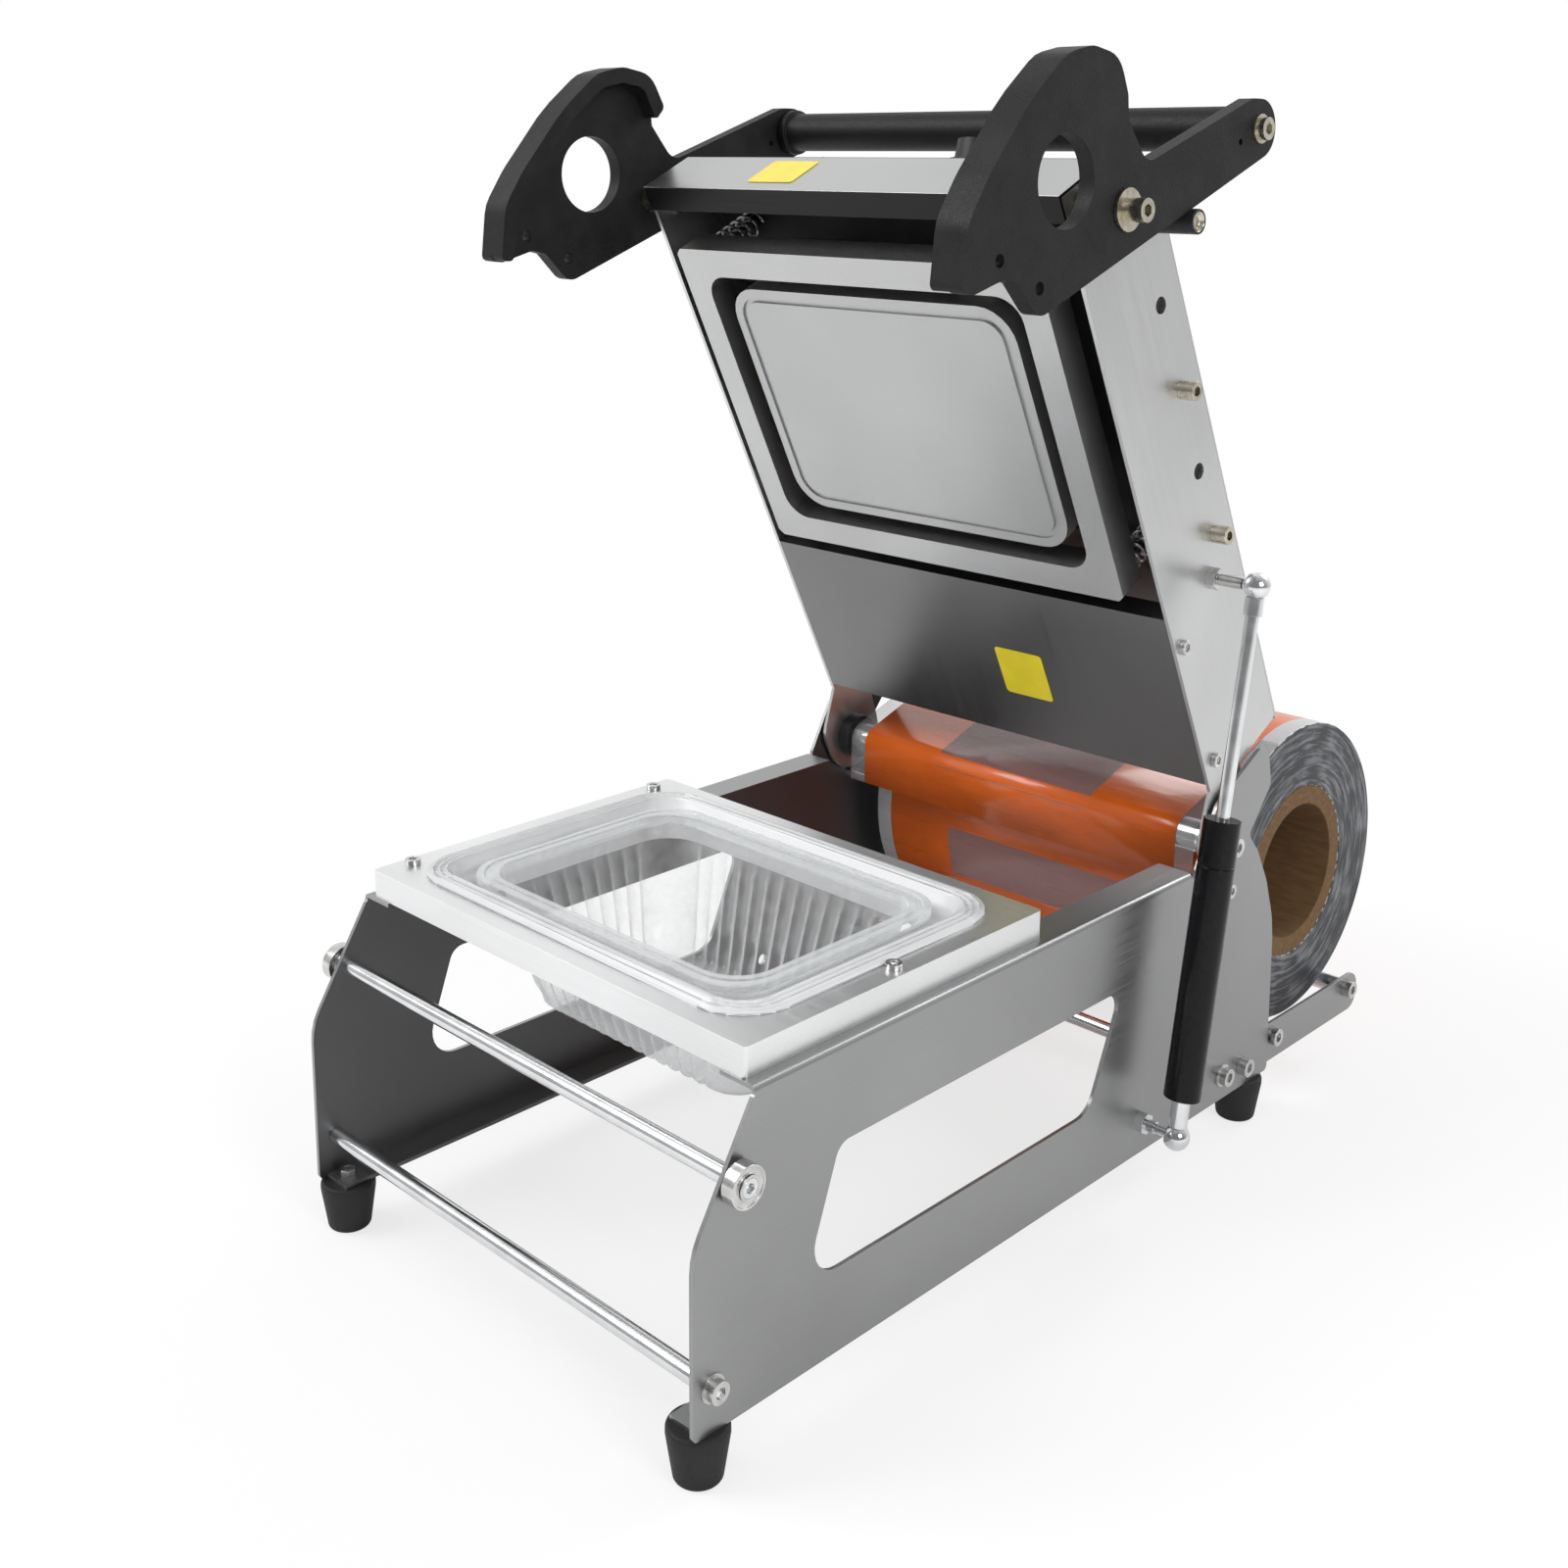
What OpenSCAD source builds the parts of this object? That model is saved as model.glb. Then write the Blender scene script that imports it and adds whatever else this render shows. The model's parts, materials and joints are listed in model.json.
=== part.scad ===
// Manual tray sealer, standing with its lid open.
// Millimetres, +Z up. X is across the machine, with its right side at +X, and Y runs from front to back.
// The origin is on the surface that it stands on, under the middle of the whole machine.
// Places in Y are measured from the front edge of the base plates, and in Z from their bottom edge.
// Lid pieces are drawn with the lid shut, from the hinge axis: along the lid to the front, and up.

/* [Base] */
// Width across the outer faces of the base plates
base_w = 265; // [245:1:300]
// Length of a base plate along its bottom edge
base_l = 423; // [415:1:435]
// Height of the deck above the bottom edge of the base plates
deck_h = 137; // [132:0.5:139]
// Height of the tall rear end of the base plates
tower_h = 192; // [180:1:205]
// Distance from the front edge to the tall rear end
tower_y = 340; // [334:1:345]
// Sheet thickness of the base and lid plates
sheet_t = 2; // [1.5:0.1:2.4]
// Height of the upright part of the front edge
knee_h = 79.5; // [70:0.5:88]
// Run of the slanted part of the front edge
knee_run = 32.5; // [26:0.5:38]
// Rounding where the front edge starts to slant
knee_r = 30; // [10:1:40]
// Width of the deck flanges, turned inwards
deck_flange_w = 17.5; // [15:0.5:22]
// Width of the bottom flanges, turned inwards
foot_flange_w = 16; // [13:0.5:20]
// Outer bend radius of the deck flanges
bend_r = 3; // [2.5:0.1:4]

/* [Side window] */
// Front lower corner of the window, from the front edge
window_y0 = 60.6; // [55:0.5:70]
// Rear upper corner of the window, from the front edge
window_y1 = 280; // [260:1:282]
// Lower edge of the window
window_z0 = 38.8; // [30:0.5:45]
// Upper edge of the window
window_z1 = 94.3; // [85:0.5:105]
// Lean of the front end of the window
window_lean_front = 20; // [10:0.5:25]
// Lean of the rear end of the window
window_lean_rear = 24.5; // [15:0.5:28]
// Large corner radius of the window
window_r = 14; // [8:0.5:16]
// Small corner radius of the window
window_small_r = 8; // [4:0.5:10]

/* [Feet] */
// Height of a rubber foot
foot_h = 24; // [18:0.5:30]
// Top diameter of a rubber foot
foot_d = 26; // [22:0.5:28]
// Bottom diameter of a rubber foot
foot_base_d = 20; // [17:0.5:22]
// Distance of the feet from the middle plane
foot_x = 123.5; // [120:0.5:125]
// Place of the front feet from the front edge
foot_y = 11; // [10:0.5:16]
// Distance between the front and rear feet
foot_pitch = 397; // [385:1:400]

/* [Rods] */
// Diameter of the two front rods and the rear tie rod
rod_d = 8; // [7.5:0.1:10]
// Height of the lower front rod
lower_rod_z = 20; // [16:0.5:26]
// Height of the upper front rod
upper_rod_z = 103; // [101:0.5:105]
// Place of the lower front rod from the front edge
lower_rod_y = 10; // [8:0.5:14]
// Place of the upper front rod from the front edge
upper_rod_y = 21.5; // [21:0.5:24]
// Place of the rear tie rod from the front edge
tie_rod_y = 376; // [370:1:380]
// Height of the rear tie rod
tie_rod_z = 14; // [12:0.5:18]
// Diameter of the film guide rod
guide_d = 6; // [5:0.5:8]
// Height of the film guide rod
guide_z = 118; // [115:0.5:120]
// Outer diameter of the cam bearings
bearing_d = 18; // [15:0.5:19]
// Width of the cam bearings
bearing_w = 6; // [5:0.1:6.3]

/* [Mould] */
// Width of the mould plate
mould_w = 252; // [244:1:256]
// Length of the mould plate from front to back
mould_l = 187.5; // [180:0.5:190]
// Thickness of the mould plate
mould_t = 13.2; // [11:0.1:13.5]
// Middle of the mould plate from the front edge
mould_y = 127.15; // [126:0.5:130]
// Width of the pocket for the seat ring
pocket_w = 210; // [206:0.5:212]
// Length of the pocket for the seat ring
pocket_l = 151; // [147:0.5:152]
// Depth of the pocket for the seat ring
pocket_depth = 6; // [5:0.1:7]
// Width of the opening that the tray hangs in
opening_w = 180; // [178:0.5:184]
// Length of the opening that the tray hangs in
opening_l = 126; // [124:0.5:129]
// Corner radius of the pocket
pocket_r = 21; // [16:0.5:24]

/* [Seat ring and tray] */
// Outer width of the seat ring
ring_w = 229; // [224:1:232]
// Outer length of the seat ring
ring_l = 167.5; // [160:0.5:170]
// Corner radius of the seat ring
ring_r = 26; // [20:0.5:30]
// Thickness of the band of the seat ring on the mould plate
ring_t = 1.4; // [1:0.1:1.5]
// Width and height of a ridge on the seat ring
ridge_w = 1; // [0.6:0.1:1]
// Wall thickness of the seat ring
ring_wall = 1.5; // [1:0.1:2]
// Width of the tray across its rim
tray_w = 190; // [186:0.5:196]
// Length of the tray across its rim
tray_l = 137; // [134:0.5:140]
// Corner radius of the tray rim
tray_r = 20; // [15:0.5:23]
// Width of the mouth of the tray
mouth_w = 172; // [168:0.5:173]
// Length of the mouth of the tray
mouth_l = 118; // [115:0.5:119]
// Depth of the tray below its rim
tray_depth = 68; // [58:1:70]
// Slope of the tray walls, as their inward lean over the depth
tray_lean = 16; // [10:0.5:20]
// Wall thickness of the tray
tray_t = 1; // [0.8:0.1:1.4]

/* [Hinge and film] */
// Place of the hinge axis from the front edge
hinge_y = 371.5; // [370:0.5:373]
// Height of the hinge axis
hinge_z = 142; // [141.5:0.5:143]
// Diameter of the hinge shaft
shaft_d = 8; // [7:0.5:9]
// Outer diameter of the film roller
roller_d = 18; // [17:0.5:19]
// Length of the film roller
roller_l = 239; // [236:0.5:239]
// Outer diameter of the film roll
roll_d = 168; // [150:1:170]
// Width of the film
film_w = 236; // [200:1:237]
// Middle of the film, to the left of the middle plane
film_shift = 1.5; // [0:0.5:1.5]
// Outer diameter of the cardboard core
core_d = 97; // [90:1:105]
// Bore of the cardboard core
core_bore = 76.2; // [70:0.1:78]
// Place of the film roll axis from the front edge
roll_y = 470.5; // [468:0.5:474]
// Height of the film roll axis
roll_z = 96.2; // [95:0.2:98]
// Thickness of the film web as drawn
web_t = 0.4; // [0.3:0.1:0.6]
// Length of film that hangs from the roller
web_hang = 24; // [14:0.5:26]

/* [Film cradle] */
// Diameter of the two cradle rods
cradle_rod_d = 10; // [8:0.5:12]
// Half the distance between the cradle rods
cradle_half = 41.5; // [38:0.5:44]
// Front end of the cradle plates from the front edge
cradle_y0 = 385; // [380:1:390]
// Rear end of the cradle plates from the front edge
cradle_y1 = 526; // [520:1:532]
// Height of the cradle plates
cradle_h = 22; // [18:0.5:24]

/* [Lid] */
// Angle that the lid is open
lid_open = 63.8; // [55:0.1:70]
// Gap between the lid plates and the base plates
lid_gap = 1.5; // [1:0.1:2]
// Length of the lid from the hinge axis to its front
lid_l = 363; // [358:0.5:364]
// Height of the top cover above the hinge axis
lid_h = 65; // [62:0.5:68]
// Height of the front cover above the hinge axis
front_h = 32; // [28:0.5:36]
// Depth of the lower edge of the lid below the hinge axis
lid_drop = 1; // [0.5:0.1:1.5]
// Place of the lid's rear end from the hinge axis
lid_rear = 34; // [32:0.5:36]
// Run of the sloped control panel
panel_run = 28; // [22:0.5:34]
// Sheet thickness of the covers
cover_t = 1.5; // [1:0.1:1.8]
// Radius of the hinge lobes
lobe_r = 20.5; // [18:0.5:20.5]
// Front end of the cover under the lid, from the hinge axis
under_s1 = 143; // [140:0.5:150]
// Rear end of the cover under the lid, from the hinge axis
under_s0 = 40; // [38:0.5:50]

/* [Press frame and heating head] */
// Width of the press frame
frame_w = 226.6; // [222:0.2:230]
// Length of the press frame
frame_l = 176; // [172:0.5:178]
// Thickness of the press frame
frame_t = 16; // [15:0.5:20]
// Width of the opening in the press frame
frame_open_w = 197; // [194:0.5:198]
// Length of the opening in the press frame
frame_open_l = 146; // [142:0.5:147]
// Depth of the frame's face below the hinge axis, in the lid
frame_drop = 9; // [8:0.1:9.5]
// Corner radius of the opening in the press frame
frame_open_r = 13; // [10:0.5:16]
// Width of the corner chamfers of the press frame
frame_chamfer = 3; // [2:0.5:5]
// Width of the heating plate
plate_w = 178; // [174:0.5:182]
// Length of the heating plate
plate_l = 131; // [128:0.5:134]
// Corner radius of the heating plate
plate_r = 18; // [16:0.5:20]
// Thickness of the heating plate
plate_t = 10; // [8:0.5:11]
// Recess of the heating plate behind the frame's face
plate_recess = 3; // [2:0.1:4]
// Height of the carrier plate above the hinge axis, in the lid
carrier_n = 40; // [39.5:0.1:41]
// Wire diameter of a frame spring
wire_d = 1.6; // [1.2:0.1:1.7]
// Outer diameter of a frame spring
spring_d = 14; // [12:0.5:15]
// Turns of a frame spring
spring_turns = 7; // [5:1:8]
// Depth of the spring pockets in the press frame
spring_pocket = 6; // [4:0.5:6]

/* [Lever] */
// Place of the lever pivot along the lid, from the hinge axis
pivot_s = 350; // [349:0.2:350.6]
// Height of the lever pivot above the hinge axis, in the lid
pivot_n = 12; // [11.5:0.1:12.5]
// Outer face of the lever arms from the middle plane
lever_x = 149.4; // [149:0.1:151]
// Thickness of a lever arm
lever_t = 7.5; // [6.5:0.1:7.5]
// Depth of the cam rim, from the arm towards the machine
rim_depth = 8.7; // [8:0.1:8.8]
// Width of the cam rim
rim_w = 7.4; // [6:0.1:7.4]
// Length of the cam part of an arm, from the pivot
cam_l = 105; // [104:0.5:106]
// Height of the cam part above the pivot
cam_h = 63.5; // [63.5:0.1:65]
// Distance of the handle from the pivot, along the machine
handle_y = 102; // [95:0.5:106]
// Height of the handle above the pivot
handle_z = 34.2; // [32:0.5:37]
// Radius of the handle end of an arm
arm_end_r = 13; // [11:0.5:13]
// Diameter of the round window in an arm
arm_window_d = 37.5; // [30:0.5:38]
// Outer diameter of the handle grip
grip_d = 20; // [18:0.5:22]
// Diameter of the handle bar
bar_d = 10; // [8:0.5:11]

/* [Gas strut] */
// Distance of the strut from the middle plane
strut_x = 154; // [153.6:0.1:155]
// Place of the lower ball from the front edge
strut_y = 298.9; // [296:0.5:302]
// Height of the lower ball
strut_z = 18.1; // [16:0.5:20]
// Place of the upper ball along the lid, from the hinge axis
strut_s = 141; // [139:0.5:143]
// Height of the upper ball above the hinge axis, in the lid
strut_n = 37.8; // [36:0.5:39]
// Outer diameter of the strut tube
tube_d = 18; // [16:0.5:18]
// Length of the strut tube
tube_l = 138; // [130:0.5:138]
// Start of the strut tube from the lower ball
tube_start = 20; // [18:0.5:20]
// Diameter of the strut rod
piston_rod_d = 6.6; // [6:0.1:8]

/* [Controls] */
// Diameter of the temperature knob
knob_d = 24; // [20:0.5:28]
// Height of the temperature knob
knob_h = 12; // [9:0.5:15]
// Place of the knob to the right of the middle plane
knob_x = 45; // [30:1:70]
// Place of the power switch to the left of the middle plane
switch_x = 45; // [30:1:70]

/* [Hidden] */

$fn = 48;

// Clearances and the overrun of cuts
fit = 0.05;    // radial, shaft in hole
hole_air = 0.2; // radial, screw in hole
air = 0.3;     // between pieces that move past each other
over = 1;      // past a face, for cuts
arc_step = 15; // degrees between points on a rounded corner

// Fasteners: head diameter, head height, shank diameter and socket size
m5_head_d = 9.6;
m5_head_h = 5;
m5_d = 5;
m5_grip = 14;
m5_washer_d = 12;
washer_t = 1;
small_head_d = 7.5;
small_head_h = 2.6;
small_d = 4;
small_grip = 9;
small_nut_d = 7.6;
small_nut_h = 3;
socket_share = 0.55;

// Base
inner_x = base_w / 2 - sheet_t;
mid_y = (foot_y - foot_d / 2 + roll_y + roll_d / 2) / 2;
tower_l = base_l - tower_y;
tower_rise = tower_h - deck_h;
// Corners of the tall rear end: shares of its length and rise from the deck, and of its length for the radius
tower_shares = [[0, 0, 0.04], [0.2, 0.56, 0.15], [0.75, 1, 0.1], [0.82, 0.53, 0.07], [0.59, 0.11, 0.05],
                [0.71, -0.09, 0.05], [0.84, -0.44, 0.24], [0.94, -0.85, 0.3], [0.965, -1.1, 0]];
plate_edge_r = 3;
foot_edge = 1;
foot_collar_h = 4;
flange_end_gap = 4;

// Rods and bearings
spacer_t = 2.2;
spacer_d = 12;
bearing_x = base_w / 2 + spacer_t;
clip_t = 0.5;
clip_d = 10.5;
bearing_inner_d = 11.5;
bearing_groove = 0.4;

// Mould, ring and tray
mould_z = deck_h;
mould_top = mould_z + mould_t;
mould_r = 2;
opening_r = 20;
mould_screw_x = 119;
mould_screw_front = 76;
mould_screw_rear = 77;
ridge_count = 3;
ridge_pitch = 3.2;
ridge_inset = 2.2;
ledge_t = 1.6;
ring_top = mould_top + ring_t;
ledge_top = mould_top - pocket_depth + ledge_t;
tray_rise = 0.2;
rim_top = ring_top + tray_rise;
tray_floor = rim_top - tray_depth;
mouth_r = 22;
tray_floor_r = 16;

// Hinge and film
bush_flange_d = 26;
bush_x = 120;
bush_spigot_d = 14;
bush_end_gap = 0.6;
roller_bore = 14;
roller_bush_l = 10;
roll_shift_x = -film_shift;
web_r0 = roller_d / 2 + air;
web_r1 = roll_d / 2 + air;
web_dy = roll_y - hinge_y;
web_dz = roll_z - hinge_z;
web_angle = atan2(web_dz, web_dy) + acos((web_r0 - web_r1) / norm([web_dy, web_dz]));
cradle_reach = roll_d / 2 + air + cradle_rod_d / 2;
cradle_z = roll_z - sqrt(cradle_reach * cradle_reach - cradle_half * cradle_half);
cradle_fix_y = 396;
cradle_fix_z = 12;
cradle_end_r = 9;

// Lid
plate_x = inner_x - lid_gap;
lid_inner_x = plate_x - sheet_t;
neck_top = 27;
neck_step = 2;
// Rounding of the hinge lobe and of the neck under it, as shares of the lobe's radius
lobe_share = 0.98;
neck_share = 0.72;
panel_rise = lid_h - front_h;
panel_tilt = atan2(panel_rise - cover_t, panel_run);
panel_l = norm([panel_run, panel_rise - cover_t]);
cover_lip = 12;
top_lip = 7;
cover_fit = air / 3;
front_lip = 13;
hole_s = [284.4, 196];
hole_n = 47.5;
hole_d = 8;
bolt_s = [239.7, 159.3];
bolt_n = 49;
bolt_head_d = 9;
bolt_head_l = 8;
button_places = [[122.8, 5.4], [49.9, 8]];

// Press frame and head
head_s = hinge_y - mould_y;
frame_edge_r = 1.5;
post_d = 6;
post_head_d = 9;
post_head_h = 1.3;
spring_inset_x = 9.4;
spring_inset_y = 9.2;
spring_x = frame_w / 2 - spring_inset_x;
spring_y = frame_l / 2 - spring_inset_y;
seat_n = -frame_drop + frame_t - spring_pocket;
spring_len = carrier_n - seat_n - 2 * cover_fit;
plate_n = -frame_drop + plate_recess;
plate_rim_w = 5;
plate_step = 1.2;
heater_t = 4;
heater_w = 10;
board_t = 4;
head_post_x = 52;
carrier_margin = 1;
carrier_flange = 17;
probe_d = 4;
probe_l = 22;
probe_stick = 4;

// Lever: shares of the cam's length and height, then of its height for the radius
cam_shares = [[-0.972, -0.05, 0.3], [-0.867, 0.211, 0.6], [-0.63, 0.67, 0.9], [-0.419, 0.953, 0.32],
              [-0.26, 1.008, 0.2], [-0.086, 0.96, 0.22]];
hook_y = -2;
hook_z = 46;
hook_r = 5;
tip_z = -29.5;
tip_w = 7;
tip_r = 3;
lobe_shares = [[-0.68, -0.43, 0.03], [-0.76, -0.4, 0.03]];
lobe_y = -57;
cam_lobe_r = 8;
edge_slope = 21.3;
edge_d = 18.2;
neck_y = 13.5;
neck_z = 18.5;
neck_fillet = 9;
arm_window_y = -41.8;
arm_window_z = 11.4;
arm_hole_d = 5.5;
arm_hole_places = [[-0.79, -0.287], [-0.543, -0.468]];
pin_hole_d = 3;
pin_hole_from = [16, 6];
arm_top_share = 0.93;
arm_top_step = 1;
shoulder_d = 12;
pivot_head_d = 10;
pivot_head_h = 8.8;
pivot_washer_d = 18;
pivot_washer_t = 1.5;
pivot_nut_d = 17;
pivot_nut_h = 5;
stop_r = 5.5;
stop_along = 46;
stop_core_d = 6;
stop_head_x = 152;
handle_head_d = 10;
handle_head_h = 3.4;
handle_m_d = 6;
handle_washer_d = 13;
grip_ring_d = 24;
grip_ring_l = 5;

// Gas strut
ball_d = 8;
socket_r = 6.6;
socket_cut = 3.6;
socket_wall_r = 4.2;
socket_mouth_r = 3.2;
shank_d = 9;
upper_shank_l = 14;
stud_d = 6;
stud_nut_d = 11;
stud_nut_h = 5;
neck_d = 5;
tube_wall = 1;
tube_base = 4;
tube_head = 6;
groove_from_top = 23;
groove_d = 0.6;
piston_h = 8;
piston_from_base = 100;
strut_end = lid_point(strut_s, strut_n);
strut_vector = strut_end - [strut_y, strut_z];
strut_len = norm(strut_vector);
strut_angle = atan2(strut_vector[1], strut_vector[0]);

// Controls
knob_skirt_d = 30;
knob_skirt_h = 2;
knob_shaft_d = 6;
pointer_w = 1;
switch_w = 19;
switch_h = 13;
switch_depth = 13;
switch_bezel = 2;
button_w = 15;
button_h = 9.6;
button_rock = 8;
thermostat_w = 34;
thermostat_h = 22;
thermostat_depth = 12;
gland_x = -85;
gland_n = 46;
gland_d = 18;
gland_l = 13;
gland_bore = 7;
gland_nut_d = 20;

// Place of a lid point in the open pose, from its distance along the lid and its height in it
function lid_point(s, n) = [hinge_y - s * cos(lid_open) + n * sin(lid_open),
                            hinge_z + s * sin(lid_open) + n * cos(lid_open)];
pivot = lid_point(pivot_s, pivot_n);
stop_at = [stop_along * cos(edge_slope) + (edge_d + stop_r + air) * sin(edge_slope),
           stop_along * sin(edge_slope) - (edge_d + stop_r + air) * cos(edge_slope)];

// Outline with rounded corners: each corner is a place and a radius
function unit(v) = v / norm(v);
function turn(a) = a > 180 ? a - 360 : a < -180 ? a + 360 : a;
function corner_arc(a, b, c) =
    let (p = [b[0], b[1]])
    let (u = unit([a[0], a[1]] - p))
    let (v = unit([c[0], c[1]] - p))
    let (half = acos(max(-1, min(1, u * v))) / 2)
    b[2] <= 0 || half > 89.5 ? [p] :
    let (m = p + unit(u + v) * b[2] / sin(half))
    let (from = p + u * b[2] / tan(half) - m)
    let (to = p + v * b[2] / tan(half) - m)
    let (a0 = atan2(from[1], from[0]))
    let (sweep = turn(atan2(to[1], to[0]) - a0))
    let (count = max(1, ceil(abs(sweep) / arc_step)))
    [for (i = [0:count]) m + b[2] * [cos(a0 + sweep * i / count), sin(a0 + sweep * i / count)]];
function outline(corners) =
    let (n = len(corners))
    [for (i = [0:n - 1]) each corner_arc(corners[(i + n - 1) % n], corners[i], corners[(i + 1) % n])];
// The same chain of corners moved inwards by w, for a rim
function inset(corners, w) =
    [for (i = [1:len(corners) - 2])
        let (p = [corners[i][0], corners[i][1]])
        let (u = unit([corners[i - 1][0], corners[i - 1][1]] - p))
        let (v = unit([corners[i + 1][0], corners[i + 1][1]] - p))
        let (half = acos(u * v) / 2)
        let (q = p + unit(u + v) * w / sin(half))
        [q[0], q[1], max(0, corners[i][2] - w)]];
function reversed(list) = [for (i = [len(list) - 1:-1:0]) list[i]];

// Rounded rectangle about its middle
module rounded_rect(w, l, r) {
    polygon(outline([[-w / 2, -l / 2, r], [w / 2, -l / 2, r], [w / 2, l / 2, r], [-w / 2, l / 2, r]]));
}

// Whole machine onto the surface, with its middle at the origin
module machine() {
    translate([0, -mid_y, foot_h]) children();
}

// Lid pieces, drawn shut from the hinge axis and swung open
module on_lid() {
    machine() translate([0, hinge_y, hinge_z]) rotate([-lid_open, 0, 0]) children();
}

// Pieces drawn from the lever pivot
module on_pivot() {
    machine() translate([0, pivot[0], pivot[1]]) children();
}

module both_sides() {
    children();
    mirror([1, 0, 0]) children();
}

// Sheet or bar whose outline lies in the plane across X
module slab(x, t) {
    translate([x, 0, 0]) rotate([90, 0, 90]) linear_extrude(t) children();
}

// Anything drawn along Z, turned to run along X from a place
module along_x(x, y, z) {
    translate([x, y, z]) rotate([0, 90, 0]) children();
}

// Screw with a socket head, its shank below zero and its head above
module cap_screw(head_d, head_h, d, grip) {
    difference() {
        union() {
            cylinder(d = head_d, h = head_h);
            translate([0, 0, -grip]) cylinder(d = d, h = grip + head_h / 2);
        }
        translate([0, 0, head_h / 2]) cylinder(d = socket_share * head_d, h = head_h, $fn = 6);
    }
}

module nut(d, h, bore) {
    difference() {
        cylinder(d = d, h = h, $fn = 6);
        translate([0, 0, -over]) cylinder(d = bore, h = h + 2 * over);
    }
}

module washer(d, t, bore) {
    difference() {
        cylinder(d = d, h = t);
        translate([0, 0, -over]) cylinder(d = bore, h = t + 2 * over);
    }
}

// Rod along X that ends inside the plates, with a blind bore in each end for a screw
module tie_rod(y, z, d, bore) {
    difference() {
        along_x(-inner_x, y, z) cylinder(d = d, h = 2 * inner_x);
        both_sides() along_x(inner_x - m5_grip, y, z) cylinder(d = bore, h = m5_grip + over);
    }
}

// Base plates
module plate_outline() {
    polygon(outline(concat(
        [[0, 0, plate_edge_r], [0, knee_h, knee_r], [knee_run, deck_h - bend_r, plate_edge_r],
         [tower_y, deck_h - bend_r, 0]],
        [for (c = tower_shares)
            [tower_y + c[0] * tower_l, deck_h + c[1] * tower_rise, c[2] * tower_l]],
        [[base_l, 0, plate_edge_r]])));
}

module window_outline() {
    polygon(outline([[window_y0, window_z0, window_r],
                     [window_y1 - window_lean_rear, window_z0, window_r],
                     [window_y1, window_z1, window_small_r],
                     [window_y0 + window_lean_front, window_z1, window_small_r]]));
}

// Bent deck flange, its outer corner rounded, seen along Y
module deck_profile() {
    polygon(concat(
        [[base_w / 2 - sheet_t, deck_h - 2 * bend_r], [base_w / 2 - sheet_t, deck_h - sheet_t],
         [inner_x - deck_flange_w, deck_h - sheet_t], [inner_x - deck_flange_w, deck_h]],
        [for (i = [0:90 / arc_step]) [base_w / 2 - bend_r + bend_r * sin(i * arc_step),
                          deck_h - bend_r + bend_r * cos(i * arc_step)]],
        [[base_w / 2, deck_h - 2 * bend_r]]));
}

module side_plate(screw_ys) {
    color([0.72, 0.73, 0.74]) machine() difference() {
        union() {
            slab(inner_x, sheet_t) plate_outline();
            translate([0, tower_y - flange_end_gap, 0]) rotate([90, 0, 0])
                linear_extrude(tower_y - flange_end_gap - knee_run) deck_profile();
            translate([inner_x - foot_flange_w, flange_end_gap, 0])
                cube([foot_flange_w + sheet_t / 2, base_l - 3 * flange_end_gap, sheet_t]);
        }
        slab(inner_x - over, sheet_t + 2 * over) window_outline();
        for (p = [[lower_rod_y, lower_rod_z], [tie_rod_y, tie_rod_z], [hinge_y, hinge_z],
                  [hinge_y, guide_z], [cradle_fix_y, cradle_fix_z]])
            along_x(inner_x - over, p[0], p[1]) cylinder(d = m5_d + 2 * hole_air, h = sheet_t + 2 * over);
        along_x(inner_x - over, upper_rod_y, upper_rod_z)
            cylinder(d = rod_d + 2 * fit, h = sheet_t + 2 * over);
        along_x(inner_x - over, strut_y, strut_z)
            cylinder(d = stud_d + 2 * hole_air, h = sheet_t + 2 * over);
        for (y = [foot_y, foot_y + foot_pitch])
            translate([foot_x, y, -over]) cylinder(d = small_d + 2 * hole_air, h = sheet_t + 2 * over);
        for (y = screw_ys)
            translate([mould_screw_x, y, deck_h - sheet_t - over])
                cylinder(d = small_d + 2 * hole_air, h = sheet_t + 2 * over);
    }
}

module right_side_plate() {
    side_plate([mould_y]);
}

module left_side_plate() {
    mirror([1, 0, 0]) side_plate([mould_y - mould_screw_front, mould_y + mould_screw_rear]);
}

module lower_front_rod() {
    color([0.85, 0.86, 0.87]) machine() tie_rod(lower_rod_y, lower_rod_z, rod_d, m5_d + 2 * fit);
}

module rear_tie_rod() {
    color([0.85, 0.86, 0.87]) machine() tie_rod(tie_rod_y, tie_rod_z, rod_d, m5_d + 2 * fit);
}

module film_guide_rod() {
    color([0.85, 0.86, 0.87]) machine() tie_rod(hinge_y, guide_z, guide_d, small_d + 2 * fit);
}

// Upper front rod: it goes through the plates and carries the cam bearings on its ends
module upper_front_rod() {
    end_x = bearing_x + bearing_w + air + clip_t;
    color([0.85, 0.86, 0.87]) machine() difference() {
        along_x(-end_x, upper_rod_y, upper_rod_z) cylinder(d = rod_d, h = 2 * end_x);
        both_sides() along_x(end_x - bearing_w / 2, upper_rod_y, upper_rod_z)
            cylinder(d = socket_share * rod_d, h = bearing_w, $fn = 6);
    }
}

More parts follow.
